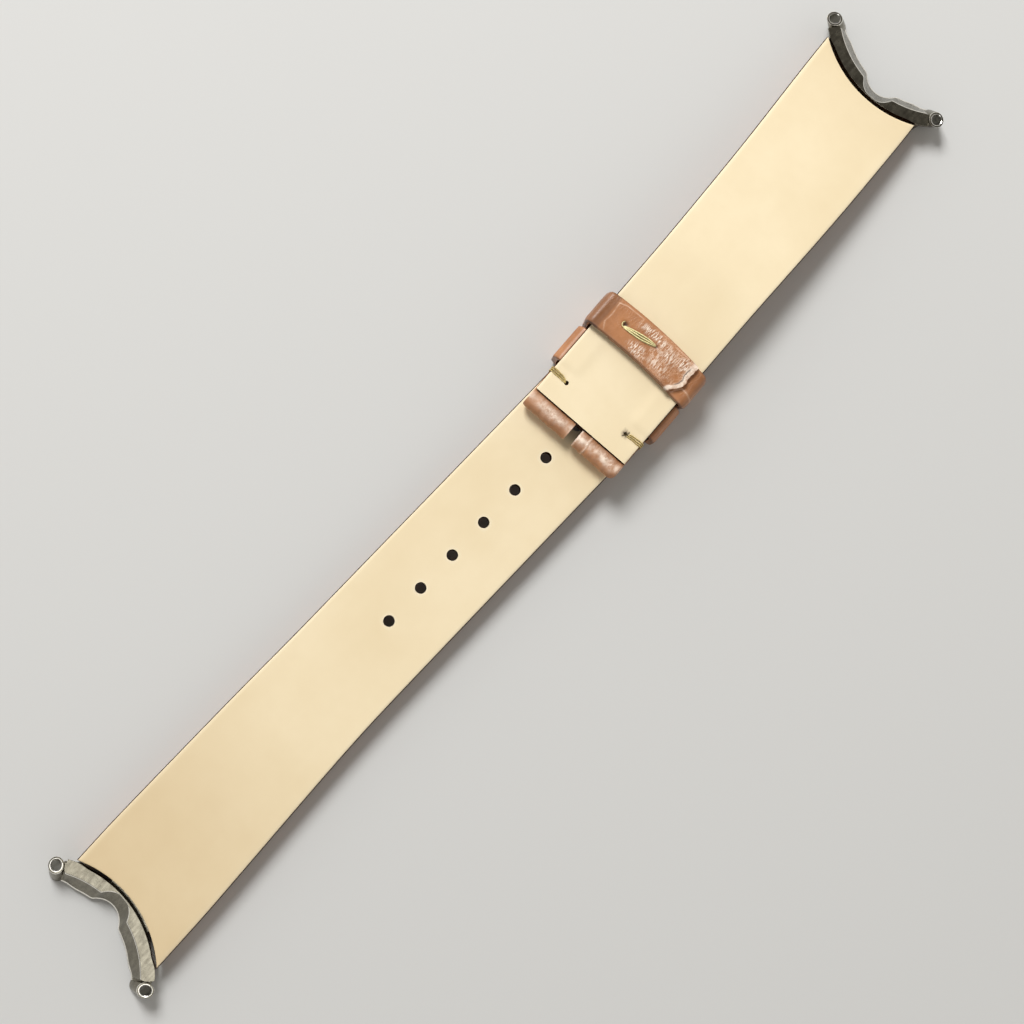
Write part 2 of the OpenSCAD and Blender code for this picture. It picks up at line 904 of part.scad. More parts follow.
module long_lining_lug() {
    color(lining_colour)
        long_frame()
            difference() {
                slab(-lining_t, 0)
                    long_plan(long_end_x - corner_len, long_bend_b, lining_step);
                long_end_frame()
                    arc_cut(arc_r);
            }
}

module long_end_piece() {
    long_frame()
        long_end_frame()
            end_piece();
}

short_skin_buckle();
short_padding_buckle();
short_lining_buckle();
short_skin_middle();
short_padding_middle();
short_lining_middle();
short_skin_lug();
short_padding_lug();
short_lining_lug();
short_end_piece();
fixed_keeper();
left_side_stitch();
right_side_stitch();
free_keeper();
keeper_stitch();
long_skin_tip();
long_padding_tip();
long_lining_tip();
long_skin_middle();
long_padding_middle();
long_lining_middle();
long_skin_lug();
long_padding_lug();
long_lining_lug();
long_end_piece();
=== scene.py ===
"""Leather watch strap that lies face down, with its lining upwards.

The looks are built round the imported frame. Lengths are millimetres in the frame's axes, and each
mesh is scaled to metres when its object is made. A half of the strap has its own frame: s runs
from its buckle end or its tip to its lug end, y runs across it, and z is 0 on the lining's face.
"""

import logging
from collections.abc import Callable, Sequence
from dataclasses import dataclass, field
from enum import Enum

import bmesh
import bpy
import numpy as np
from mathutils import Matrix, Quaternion, Vector


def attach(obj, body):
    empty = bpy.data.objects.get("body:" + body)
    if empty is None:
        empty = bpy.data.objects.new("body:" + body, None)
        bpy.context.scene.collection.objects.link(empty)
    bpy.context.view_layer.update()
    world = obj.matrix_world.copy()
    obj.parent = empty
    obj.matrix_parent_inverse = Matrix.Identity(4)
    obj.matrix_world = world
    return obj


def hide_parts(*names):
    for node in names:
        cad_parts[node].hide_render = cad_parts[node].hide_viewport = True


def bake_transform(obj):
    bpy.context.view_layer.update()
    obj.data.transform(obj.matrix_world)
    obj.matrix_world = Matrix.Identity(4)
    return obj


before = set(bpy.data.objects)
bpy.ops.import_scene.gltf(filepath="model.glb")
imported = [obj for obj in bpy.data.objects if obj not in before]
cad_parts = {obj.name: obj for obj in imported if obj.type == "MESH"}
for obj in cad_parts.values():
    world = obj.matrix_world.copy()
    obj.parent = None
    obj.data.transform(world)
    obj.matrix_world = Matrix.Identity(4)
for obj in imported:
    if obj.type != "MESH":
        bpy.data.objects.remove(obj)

log = logging.getLogger("strap")
Array = np.ndarray
METRE = 0.001

# Shared sizes, the same as the solids have
LINING_T = 0.85
SKIN_T = 0.8
CROWN_R = 70.0
ARC_R = 18.4
SHORT_TOP = 1.35
LONG_TOP = -1.7
FRONT_Z = -1.4
FLOOR_Z = -5.15
SEAT_Z = -0.86
BUCKLE_HALF = 9.1
SEAM_PLACE = 44.0
HOLE_PITCH = 7.0
FIRST_HOLE = -1.9
HOLE_COUNT = 7
HOLE_RADIUS = 0.9

# Numbers that hold everywhere
TINY = 1e-12
MERGE_DISTANCE = 1e-8
FLAT_EDGE = 1e-9
CORNER_POINTS = 9
HOLE_LINES = 9
SCATTER_RATES = (12.9898, 78.233)
SCATTER_SIZE = 43758.5453
THREAD_SIDES = 16
PLY_SHARE = 0.26
SRGB_OFFSET = 0.055
SRGB_POWER = 2.4
WALL_SHARES = (0, 0.2, 0.45, 0.7)
CORNER_ANGLES = (0, 22, 45, 68)
PLAIN_TONE = 0.4


class Zone(Enum):
    """Part of a shell: its outer face, its inner face, or the cut edge between them."""

    OUTER = 0
    INNER = 1
    EDGE = 2


class EndShape(Enum):
    """Shape of the far end of a stretch of strap."""

    SEAM = "seam"
    ARC = "arc"
    NOSE = "nose"


# Numbers and curves


def soft_step(x: Array, low: float, high: float) -> Array:
    """Rise from 0 at low to 1 at high, level at both ends: 3 t squared less 2 t cubed."""
    t = np.clip((x - low) / (high - low), 0, 1)
    return t * t * (3 - 2 * t)


def soft_bend(x: Array, rounding: float) -> Array:
    """Zero before 0 and x after it, with the corner rounded: half of x plus a hyperbola."""
    return (x + np.sqrt(x * x + rounding * rounding)) / 2


def soft_ramp(x: Array, start: float, stop: float, low: float, high: float, rounding: float) -> Array:
    """Straight ramp from low at start to high at stop, with both corners rounded."""
    rise = soft_bend(x - start, rounding) - soft_bend(x - stop, rounding)
    return low + (high - low) * rise / (stop - start)


def bump(x: Array, middle: float, width: float) -> Array:
    """Bell of height 1 about a middle: e to the minus square of the distance over the width."""
    return np.exp(-(((x - middle) / width) ** 2))


def scatter(index: Array, seed: float) -> Array:
    """Even scatter from 0 to 1 for whole numbers: the fraction of a large sine."""
    return np.mod(np.sin(index * SCATTER_RATES[0] + seed * SCATTER_RATES[1]) * SCATTER_SIZE, 1.0)


def crown(y: Array) -> Array:
    """Rise of the front's edges above its middle: the height of a circle's arc."""
    return CROWN_R - np.sqrt(CROWN_R**2 - y**2)


def spaced(start: float, stop: float, step: float, marks: Sequence[float] = ()) -> Array:
    """Numbers from start to stop that include the marks, with even steps between them.

    Args:
        start: first number.
        stop: last number.
        step: longest step.
        marks: numbers that must be among them.

    Returns:
        The numbers, rising.
    """
    knots = np.unique(np.round([start, stop, *marks], 5))
    knots = knots[(knots >= start) & (knots <= stop)]
    runs = [
        np.linspace(a, b, max(1, int(np.ceil((b - a) / step))), endpoint=False)
        for a, b in zip(knots[:-1], knots[1:])
    ]
    return np.concatenate([*runs, knots[-1:]])


def rounded_line(corners: Sequence[tuple[float, float]], reach: float, step: float) -> Array:
    """Line through corners whose turns are quadratic curves that start a given reach before each corner.

    Args:
        corners: the corners in order.
        reach: distance from a corner to where its curve starts and ends.
        step: distance between points on the straight runs.

    Returns:
        Points of the line, one row each.
    """
    corners = np.array(corners, float)
    t = np.linspace(0, 1, CORNER_POINTS)[:, None]
    parts, here = [], corners[0]
    for before, corner, after in zip(corners[:-2], corners[1:-1], corners[2:]):
        enter = corner + (before - corner) / np.linalg.norm(before - corner) * reach
        leave = corner + (after - corner) / np.linalg.norm(after - corner) * reach
        count = max(2, int(np.linalg.norm(enter - here) / step))
        parts.append(here + (enter - here) * np.linspace(0, 1, count, endpoint=False)[:, None])
        parts.append(((1 - t) ** 2 * enter + 2 * (1 - t) * t * corner + t**2 * leave)[:-1])
        here = leave
    count = max(2, int(np.linalg.norm(corners[-1] - here) / step))
    parts.append(here + (corners[-1] - here) * np.linspace(0, 1, count)[:, None])
    return np.concatenate(parts)


def line_normals(line: Array) -> tuple[Array, Array]:
    """Left-hand unit normals of a flat line, and the length along it at each point.

    Args:
        line: points of the line, one row each.

    Returns:
        The normals, and the lengths.
    """
    tangent = np.gradient(line, axis=0)
    tangent /= np.linalg.norm(tangent, axis=1)[:, None]
    steps = np.linalg.norm(np.diff(line, axis=0), axis=1)
    return np.column_stack([-tangent[:, 1], tangent[:, 0]]), np.concatenate([[0], np.cumsum(steps)])


def traced(x: Array, y: Array, corners: Sequence[tuple[float, float]], width: float) -> Array:
    """Bell of the distance from a bent line, of which the nearest straight run counts.

    Args:
        x: places along.
        y: places across.
        corners: corners of the line.
        width: width of the bell.

    Returns:
        1 on the line, falling to 0 beside it.
    """
    place = np.stack([x, y], -1)
    nearest = np.full(place.shape[:-1], np.inf)
    for start, stop in zip(np.array(corners[:-1]), np.array(corners[1:])):
        run = stop - start
        share = np.clip((place - start) @ run / (run @ run), 0, 1)
        nearest = np.minimum(nearest, np.linalg.norm(place - start - share[..., None] * run, axis=-1))
    return bump(nearest, 0, width)


def blob(x: Array, y: Array, middle: tuple[float, float], size: tuple[float, float]) -> Array:
    """Soft oval patch: e to the minus fourth power of the distance in units of its half sizes."""
    return np.exp(-((((x - middle[0]) / size[0]) ** 2 + ((y - middle[1]) / size[1]) ** 2) ** 2))


# Meshes


@dataclass
class Shell:
    """Closed mesh in the making, with the zone of each face and named marks on its points."""

    points: Array
    faces: Array
    zones: Array
    marks: dict[str, Array] = field(default_factory=dict)

    def outward(self) -> "Shell":
        """Turn the faces outwards: the volume under them has to be above zero.

        Returns:
            This shell.
        """
        p = self.points[self.faces]
        volume = np.einsum("ij,ij->i", p[:, 0], np.cross(p[:, 1], p[:, 2])).sum()
        volume += np.einsum("ij,ij->i", p[:, 0], np.cross(p[:, 2], p[:, 3])).sum()
        if volume < 0:
            self.faces = self.faces[:, ::-1]
        return self

    def placed(self, place: Callable[[Array], Array]) -> "Shell":
        """Move the points with a function from points to points, and turn the faces outwards again."""
        self.points = place(self.points)
        return self.outward()


def joined(shells: Sequence[Shell]) -> Shell:
    """One shell that holds several, with zero for the marks that a shell lacks.

    Args:
        shells: the shells to hold.

    Returns:
        The joined shell.
    """
    starts = np.cumsum([0, *[len(s.points) for s in shells]])
    names = sorted({name for s in shells for name in s.marks})
    return Shell(
        np.concatenate([s.points for s in shells]),
        np.concatenate([s.faces + start for s, start in zip(shells, starts)]),
        np.concatenate([s.zones for s in shells]),
        {n: np.concatenate([s.marks.get(n, np.zeros(len(s.points))) for s in shells]) for n in names},
    )


def grid_faces(rows: int, columns: int, wrap: bool = False) -> Array:
    """Four-sided faces between the points of a grid, numbered row by row.

    Args:
        rows: number of rows.
        columns: number of points in a row.
        wrap: close each row on itself.

    Returns:
        The faces, as four point numbers each.
    """
    index = np.arange(rows * columns).reshape(rows, columns)
    if wrap:
        index = np.hstack([index, index[:, :1]])
    return np.stack([index[:-1, :-1], index[1:, :-1], index[1:, 1:], index[:-1, 1:]], -1).reshape(-1, 4)


def point_normals(points: Array, faces: Array) -> Array:
    """Unit normals at the points: the sum of the crossed diagonals of the faces round each.

    Args:
        points: places of the points.
        faces: four-sided faces between them.

    Returns:
        One normal for each point.
    """
    p = points[faces]
    face = np.cross(p[:, 2] - p[:, 0], p[:, 3] - p[:, 1])
    total = np.zeros_like(points)
    for corner in range(4):
        np.add.at(total, faces[:, corner], face)
    return total / np.maximum(np.linalg.norm(total, axis=1), TINY)[:, None]


def thicken(outer: Array, inner: Array, faces: Array, marks: dict[str, Array] | None = None) -> Shell:
    """Close two copies of one sheet with a wall along every edge that only one face uses.

    Args:
        outer: points of the outer face.
        inner: points of the inner face, one for each outer point.
        faces: faces of the outer face.
        marks: named values of the outer points.

    Returns:
        The closed shell, its faces outwards.
    """
    count = len(outer)
    edges = np.concatenate([faces[:, [k, (k + 1) % 4]] for k in range(4)])
    _, first, uses = np.unique(np.sort(edges, 1), axis=0, return_index=True, return_counts=True)
    rim = edges[first[uses == 1]]
    walls = np.column_stack([rim[:, 1], rim[:, 0], rim[:, 0] + count, rim[:, 1] + count])
    zones = np.repeat([z.value for z in Zone], [len(faces), len(faces), len(walls)])
    both = {n: np.concatenate([v, np.zeros(count)]) for n, v in (marks or {}).items()}
    every = np.concatenate([faces, faces[:, ::-1] + count, walls])
    return Shell(np.concatenate([outer, inner]), every, zones, both).outward()


def loft(rings: Array, caps: bool = True) -> Shell:
    """Closed body through rings of points; with caps each end is gathered to its middle, else it wraps.

    Args:
        rings: points of each ring, shaped (rings, points, 3).
        caps: close the two ends; otherwise the last ring joins the first.

    Returns:
        The closed shell.
    """
    if caps:
        first, last = rings[:1].mean(1, keepdims=True), rings[-1:].mean(1, keepdims=True)
        rings = np.concatenate([first + 0 * rings[:1], rings, last + 0 * rings[-1:]])
    else:
        rings = np.concatenate([rings, rings[:1]])
    faces = grid_faces(rings.shape[0], rings.shape[1], wrap=True)
    return Shell(rings.reshape(-1, 3), faces, np.zeros(len(faces), int)).outward()


def strand(path: Array, radius: float, turns: float, side: tuple[float, float, float]) -> Shell:
    """Two-ply thread along a path: its radius swells twice round the section, and the swelling turns.

    Args:
        path: points that the thread follows.
        radius: largest radius.
        turns: turns of the ply for each millimetre.
        side: direction that is never along the path.

    Returns:
        The closed thread.
    """
    tangent = np.gradient(path, axis=0)
    tangent /= np.linalg.norm(tangent, axis=1)[:, None]
    right = np.cross(tangent, side)
    right /= np.linalg.norm(right, axis=1)[:, None]
    up = np.cross(right, tangent)
    length = np.concatenate([[0], np.cumsum(np.linalg.norm(np.diff(path, axis=0), axis=1))])
    angle = np.linspace(0, 2 * np.pi, THREAD_SIDES, endpoint=False)[None, :]
    ply = np.abs(np.cos(angle - 2 * np.pi * turns * length[:, None]))
    size = radius * (1 - PLY_SHARE + PLY_SHARE * ply)[..., None]
    away = np.cos(angle)[..., None] * right[:, None] + np.sin(angle)[..., None] * up[:, None]
    made = loft(path[:, None] + size * away)
    # The ply mark carries painted shade into the thread's colour where the section is indented
    made.marks["ply"] = np.concatenate([ply[:1], ply, ply[-1:]]).ravel()
    return made


def make_piece(
    name: str, shell: Shell, finishes: Sequence[bpy.types.Material], sharp: float = 40,
) -> bpy.types.Object:
    """Make an object of a shell, with one finish for each zone and smooth shading up to an angle.

    Args:
        name: name of the piece.
        shell: its mesh, in millimetres.
        finishes: materials of the outer, inner and edge zones; the last one serves those left.
        sharp: angle between faces, in degrees, above which their edge stays sharp.

    Returns:
        The new object, at the origin.
    """
    mesh = bpy.data.meshes.new(name)
    mesh.from_pydata((shell.points * METRE).tolist(), [], shell.faces.tolist())
    for mark, values in shell.marks.items():
        mesh.attributes.new(mark, "FLOAT", "POINT").data.foreach_set("value", values.astype(np.float32))
    for finish in finishes:
        mesh.materials.append(finish)
    zones = np.minimum(shell.zones, len(finishes) - 1).astype(np.int32)
    mesh.polygons.foreach_set("material_index", zones)
    body = bmesh.new()
    body.from_mesh(mesh)
    bmesh.ops.remove_doubles(body, verts=body.verts, dist=MERGE_DISTANCE)
    bmesh.ops.dissolve_degenerate(body, edges=body.edges, dist=FLAT_EDGE)
    body.to_mesh(mesh)
    body.free()
    mesh.polygons.foreach_set("use_smooth", np.ones(len(mesh.polygons), bool))
    mesh.set_sharp_from_angle(angle=np.radians(sharp))
    mesh.update()
    made = bpy.data.objects.new(name, mesh)
    bpy.context.scene.collection.objects.link(made)
    log.info("%s: %d faces", name, len(mesh.polygons))
    return made


def make_rigid(
    name: str, shell: Shell, finishes: Sequence[bpy.types.Material], body: str, node: str,
    sharp: float = 40,
) -> None:
    """Make a piece that rides on one body and stands for one node.

    Args:
        name: name of the piece.
        shell: its mesh, in millimetres.
        finishes: materials of its zones.
        body: body that carries it.
        node: node that it stands for.
        sharp: angle between faces, in degrees, above which their edge stays sharp.
    """
    piece = make_piece(name, shell, finishes, sharp)
    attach(piece, body)
    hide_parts(node)


# Crocodile scales


@dataclass(frozen=True)
class Scales:
    """Crocodile scales: wavy rows across the strap, each cut into scales that shrink towards the sides.

    The waves of the rows and of the columns are pairs: heights in millimetres, and turns in radians
    for each millimetre.
    """

    row: float = 5.6
    column: float = 4.4
    groove: float = 0.16
    swell: float = 0.75
    seed: float = 1.0
    row_waves: tuple[float, float] = (0.5, 0.22)
    row_turns: tuple[float, float] = (0.42, 1.3)
    column_waves: tuple[float, float] = (0.3, 0.12)
    column_turns: tuple[float, float] = (0.9, 2.7)
    row_lag: float = 2.1
    half_rows: tuple[float, float] = (5.2, 6.6)
    side_growth: float = 0.04
    side_swell: float = 0.8
    crease_share: float = 0.55

    def relief(self, along: Array, across: Array) -> tuple[Array, Array, Array]:
        """Depth of the grooves, their narrow creases and the tone of each scale, all from 0 to 1.

        A row line waves with the place across. A column line is shifted by a scatter of its row and
        waves with the place along. Depth is a narrow bell about each line plus a wide one.

        Args:
            along: millimetres along the strap.
            across: millimetres from its middle.

        Returns:
            Depth, crease and tone.
        """
        high, low = self.row_waves
        wave = high * np.sin(across * self.row_turns[0] + self.seed)
        wave = wave + low * np.sin(across * self.row_turns[1] + 2 * self.seed)
        place = (along + wave) / self.row
        row = np.floor(place)
        to_row = np.abs(place - row - np.round(place - row)) * self.row
        half_row = np.abs(place - row - 0.5) * self.row
        side = soft_step(np.abs(across), *self.half_rows)
        spread = np.sign(across) * (np.abs(across) + self.side_growth * across**2)
        high, low = self.column_waves
        wander = high * np.sin(along * self.column_turns[0] + row * self.row_lag)
        wander = wander + low * np.sin(along * self.column_turns[1] + row)
        slot = (spread + wander) / self.column + scatter(row, self.seed)
        column = np.floor(slot)
        to_column = np.abs(slot - column - np.round(slot - column)) * self.column
        nearest = np.minimum(to_row, to_column)
        narrow = np.maximum(bump(nearest, 0, self.groove), side * bump(half_row, 0, self.groove))
        wide = 1 - (1 - bump(to_row, 0, self.swell)) * (1 - bump(to_column, 0, self.swell))
        wide = np.maximum(wide, side * bump(half_row, 0, self.swell * self.side_swell))
        depth = self.crease_share * narrow + (1 - self.crease_share) * wide
        return depth, narrow, scatter(row * 7 + column, self.seed + 3)


# Finishes


class Tree:
    """Node tree of one material, built node by node."""

    def __init__(self, name: str) -> None:
        """Start a material with a surface shader linked to its output.

        Args:
            name: name of the material.
        """
        self.material = bpy.data.materials.new(name)
        self.material.use_nodes = True
        self.nodes = self.material.node_tree.nodes
        self.shader = self.nodes["Principled BSDF"]

    def add(self, kind: str, inputs: dict | None = None, **settings: object) -> bpy.types.Node:
        """Add a node, set its properties, and set or link its inputs.

        Args:
            kind: kind of the shader node.
            inputs: numbers or other nodes' outputs, by the name of the input.
            settings: properties of the node.

        Returns:
            The new node.
        """
        made = self.nodes.new("ShaderNode" + kind)
        for name, value in settings.items():
            setattr(made, name, value)
        self.feed(made, inputs or {})
        return made

    def feed(self, node: bpy.types.Node, inputs: dict) -> None:
        """Set inputs to numbers or link them to other nodes' outputs.

        Args:
            node: node whose inputs are set.
            inputs: numbers or other nodes' outputs, by the name or the number of the input.
        """
        for name, value in inputs.items():
            if isinstance(value, bpy.types.NodeSocket):
                self.material.node_tree.links.new(value, node.inputs[name])
            else:
                node.inputs[name].default_value = value

    def place(self) -> bpy.types.NodeSocket:
        """Place on the object, in metres."""
        return self.add("TexCoord").outputs["Object"]

    def mark(self, name: str) -> bpy.types.NodeSocket:
        """A named mark of the mesh's points."""
        return self.add("Attribute", attribute_name=name).outputs["Fac"]

    def noise(
        self, scale: float, detail: float = 3, rough: float = 0.55, where: object = None,
    ) -> bpy.types.NodeSocket:
        """Noise from 0 to 1 whose features are about one over scale metres."""
        inputs = {"Vector": where or self.place(), "Scale": scale, "Detail": detail, "Roughness": rough}
        return self.add("TexNoise", inputs).outputs["Fac"]

    def stretched(self, x: float, y: float, z: float) -> bpy.types.NodeSocket:
        """Place on the object with each axis scaled."""
        inputs = {"Vector": self.place(), "Scale": (x, y, z)}
        return self.add("Mapping", inputs).outputs["Vector"]

    def span(
        self, value: object, low: float, high: float, to_low: float = 0, to_high: float = 1,
    ) -> bpy.types.NodeSocket:
        """Map a range of a value to another range, held at its ends."""
        inputs = {"Value": value, "From Min": low, "From Max": high, "To Min": to_low, "To Max": to_high}
        return self.add("MapRange", inputs).outputs["Result"]

    def math(self, operation: str, first: object, second: object) -> bpy.types.NodeSocket:
        """Result of one operation on two values.

        Args:
            operation: Blender's name of the operation.
            first: number or output.
            second: number or output.

        Returns:
            The result.
        """
        made = self.add("Math", operation=operation)
        self.feed(made, {0: first, 1: second})
        return made.outputs[0]

    def mix(self, share: object, first: object, second: object) -> bpy.types.NodeSocket:
        """Mix two colours by a share.

        Args:
            share: share of the second colour.
            first: colour or output.
            second: colour or output.

        Returns:
            The mixed colour.
        """
        made = self.add("Mix", data_type="RGBA")
        self.feed(made, {0: share, 6: first, 7: second})
        return made.outputs[2]

    def raised(
        self, height: object, strength: float, distance: float, under: object = None,
    ) -> bpy.types.NodeSocket:
        """Normal of a surface that is raised by a height.

        Args:
            height: output from 0 to 1.
            strength: share of the effect.
            distance: rise at a height of 1, in millimetres.
            under: normal of the surface that is raised.

        Returns:
            The normal.
        """
        inputs = {"Height": height, "Strength": strength, "Distance": distance * METRE}
        if under is not None:
            inputs["Normal"] = under
        return self.add("Bump", inputs).outputs["Normal"]

    def finish(self, inputs: dict) -> bpy.types.Material:
        """Feed the surface shader and return the material."""
        self.feed(self.shader, inputs)
        return self.material


def colour(red: float, green: float, blue: float) -> tuple[float, float, float, float]:
    """Linear colour from sRGB values of 0 to 255: (c plus 0.055 over 1.055) to the power 2.4."""
    c = (np.array([red, green, blue]) / 255 + SRGB_OFFSET) / (1 + SRGB_OFFSET)
    return (*(c**SRGB_POWER).tolist(), 1.0)


@dataclass(frozen=True)
class LiningLeather:
    """Smooth natural lining: faint clouds, a fine grain, a few grey specks, a painted highlight along its rim
    and round its holes, and painted shade towards its ends.

    Each scale is the number of its features in a metre.
    """

    base: tuple = colour(248, 231, 195)
    cloud: tuple = colour(240, 221, 182)
    # pale is the colour of the painted highlight along the rim and round the holes
    pale: tuple = colour(250, 238, 210)
    # tan is the colour of the painted shade towards the lining's ends
    tan: tuple = colour(220, 196, 154)
    speck: tuple = colour(120, 105, 88)
    cloud_scale: float = 55
    blotch_scale: float = 420
    tan_scale: float = 60
    speck_scale: float = 190
    pore_scale: float = 1500
    grain_scale: float = 5200
    speck_share: float = 0.7
    rim_share: float = 0.3
    roughness: float = 0.62
    shine: float = 0.35

    def material(self) -> bpy.types.Material:
        """Build the material.

        Returns:
            The material.
        """
        t = Tree("lining_leather")
        clouds = t.span(t.noise(self.cloud_scale, 4), 0.4, 0.75)
        tone = t.mix(clouds, self.base, self.cloud)
        tone = t.mix(t.span(t.noise(self.blotch_scale, 3), 0.35, 0.8, 0, 0.28), tone, self.cloud)
        # Painted shade: the tan mark darkens the lining towards its ends, where the light falls off
        painted_falloff = t.math("MULTIPLY", t.mark("tan"), t.span(t.noise(self.tan_scale, 4), 0.3, 0.7, 0.6, 1.0))
        tone = t.mix(painted_falloff, tone, self.tan)
        # Painted highlight: the rim mark pales the lining along its edges and round its holes
        tone = t.mix(t.math("MULTIPLY", t.mark("rim"), self.rim_share), tone, self.pale)
        dots = t.add("TexVoronoi", {"Vector": t.place(), "Scale": self.speck_scale}, feature="F1")
        rare = t.span(dots.outputs["Color"], 0.93, 0.95)
        dot = t.span(dots.outputs["Distance"], 0.022, 0.035, 1, 0)
        specks = t.math("MULTIPLY", t.math("MULTIPLY", rare, dot), self.speck_share)
        tone = t.mix(specks, tone, self.speck)
        tone = t.mix(t.mark("shade"), tone, self.speck)
        grain = t.noise(self.grain_scale, 2)
        pores = t.noise(self.pore_scale, 4, 0.65)
        normal = t.raised(pores, 0.25, 0.03, t.raised(grain, 0.3, 0.012))
        return t.finish({
            "Base Color": tone, "Roughness": self.roughness, "Specular IOR Level": self.shine,
            "Normal": normal,
        })


@dataclass(frozen=True)
class CrocodileSkin:
    """Glossy crocodile: pinkish brown, pale creases, fine wrinkles that break up its shine and carry painted
    white glints, a pale colour for rubbed places and painted highlights, and a dark colour for painted shade.

    Each scale is the number of its features in a metre, for stretched ones along each axis.
    """

    base: tuple = colour(186, 126, 80)
    deep: tuple = colour(150, 95, 53)
    crease: tuple = colour(232, 190, 158)
    # worn is the pale colour of rubbed places, of painted highlights and of the painted glints; dark is the
    # colour of painted shade and of the dark edge by the lining
    worn: tuple = colour(252, 232, 212)
    dark: tuple = colour(58, 32, 20)
    patch_scale: float = 260
    crease_scale: float = 700
    stroke_scale: tuple[float, float, float] = (1300, 6200, 4000)
    mesh_scale: tuple[float, float, float] = (1900, 3300, 3000)
    mesh_patch_scale: float = 900
    wear_scale: float = 1100
    wrinkle_scale: tuple[float, float, float] = (1300, 2600, 2600)
    wrinkle_patch_scale: float = 330
    swell_scale: float = 800
    polish_scale: float = 1400
    roughness: tuple[float, float] = (0.36, 0.54)
    shine: float = 0.5
    coat: float = 0.25
    coat_roughness: float = 0.3

    def material(self) -> bpy.types.Material:
        """Build the material.

        Returns:
            The material.
        """
        t = Tree("crocodile_skin")
        tone = t.mix(t.span(t.noise(self.patch_scale, 4, 0.6), 0.35, 0.7), self.base, self.deep)
        tone = t.mix(t.span(t.mark("tone"), 0, 1, 0, 0.35), tone, self.base)
        broken = t.span(t.noise(self.crease_scale, 3), 0.35, 0.6, 0.35, 0.85)
        tone = t.mix(t.math("MULTIPLY", t.mark("crease"), broken), tone, self.crease)
        strokes = t.noise(1.0, 3, 0.6, t.stretched(*self.stroke_scale))
        # Painted highlight: white glint strokes where the wrinkle mark lies
        glint_stroke = t.math("MULTIPLY", t.span(strokes, 0.49, 0.56), t.mark("wrinkle"))
        mesh = self.cells(t, self.mesh_scale)
        line = t.math("MULTIPLY", t.span(mesh, 0.02, 0.12, 0.75, 0), t.mark("mesh"))
        line = t.math("MULTIPLY", line, t.span(t.noise(self.mesh_patch_scale, 2), 0.4, 0.6))
        tone = t.mix(line, tone, self.crease)
        tone = t.mix(glint_stroke, tone, self.worn)
        # This mark pales rubbed places, and paints a highlight on the fold's crest and partly on the raised
        # line beside its slot
        rubbed = t.span(t.noise(self.wear_scale, 4, 0.65), 0.33, 0.6, 0.22, 1.0)
        tone = t.mix(t.math("MULTIPLY", t.mark("wear"), rubbed), tone, self.worn)
        # The shade mark paints shade, and on the turned edges by the lining it gives them their dark edge
        # colour
        tone = t.mix(t.mark("shade"), tone, self.dark)
        wrinkle = t.span(self.cells(t, self.wrinkle_scale), 0.0, 0.16)
        patchy = t.span(t.noise(self.wrinkle_patch_scale, 2), 0.42, 0.66, 0, 0.6)
        swell = t.math("MULTIPLY", t.noise(self.swell_scale, 4, 0.6), 0.8)
        height = t.math("ADD", t.math("MULTIPLY", wrinkle, patchy), swell)
        ridges = t.math("MULTIPLY", strokes, t.math("MULTIPLY", t.mark("wrinkle"), 2.2))
        height = t.math("ADD", height, ridges)
        return t.finish({
            "Base Color": tone, "Roughness": t.span(t.noise(self.polish_scale, 3), 0.3, 0.7, *self.roughness),
            "Specular IOR Level": self.shine, "Normal": t.raised(height, 0.6, 0.07),
            "Coat Weight": self.coat, "Coat Roughness": self.coat_roughness,
        })

    def cells(self, t: Tree, scale: tuple[float, float, float]) -> bpy.types.NodeSocket:
        """Distance to the border of the nearest cell of a stretched pattern of cells."""
        inputs = {"Vector": t.stretched(*scale), "Scale": 1.0}
        return t.add("TexVoronoi", inputs, feature="DISTANCE_TO_EDGE").outputs["Distance"]


@dataclass(frozen=True)
class CutLeather:
    """Fibrous cut edge or flesh side of leather."""

    name: str
    base: tuple
    deep: tuple
    patch_scale: float = 1800
    fibre_scale: float = 3600
    roughness: float = 0.8
    shine: float = 0.2

    def material(self) -> bpy.types.Material:
        """Build the material.

        Returns:
            The material.
        """
        t = Tree(self.name)
        tone = t.mix(t.span(t.noise(self.patch_scale, 4, 0.7), 0.35, 0.7), self.base, self.deep)
        return t.finish({
            "Base Color": tone, "Roughness": self.roughness, "Specular IOR Level": self.shine,
            "Normal": t.raised(t.noise(self.fibre_scale, 4, 0.7), 0.5, 0.05),
        })


@dataclass(frozen=True)
class Gunmetal:
    """Dark nickel plate with faint polishing streaks; its edges are paler and smoother."""

    name: str
    base: tuple
    worn: tuple
    roughness: float
    streak_scale: tuple[float, float, float] = (260, 1500, 600)
    patch_scale: float = 900
    smoothest: float = 0.8
    roughest: float = 1.3

    def material(self) -> bpy.types.Material:
        """Build the material.

        Returns:
            The material.
        """
        t = Tree(self.name)
        streaks = t.noise(1.0, 4, 0.6, t.stretched(*self.streak_scale))
        tone = t.mix(t.span(streaks, 0.4, 0.75), self.base, self.worn)
        low, high = self.roughness * self.smoothest, self.roughness * self.roughest
        rough = t.span(t.noise(self.patch_scale, 3), 0.3, 0.7, low, high)
        normal = t.raised(streaks, 0.12, 0.03)
        return t.finish({"Base Color": tone, "Metallic": 1.0, "Roughness": rough, "Normal": normal})


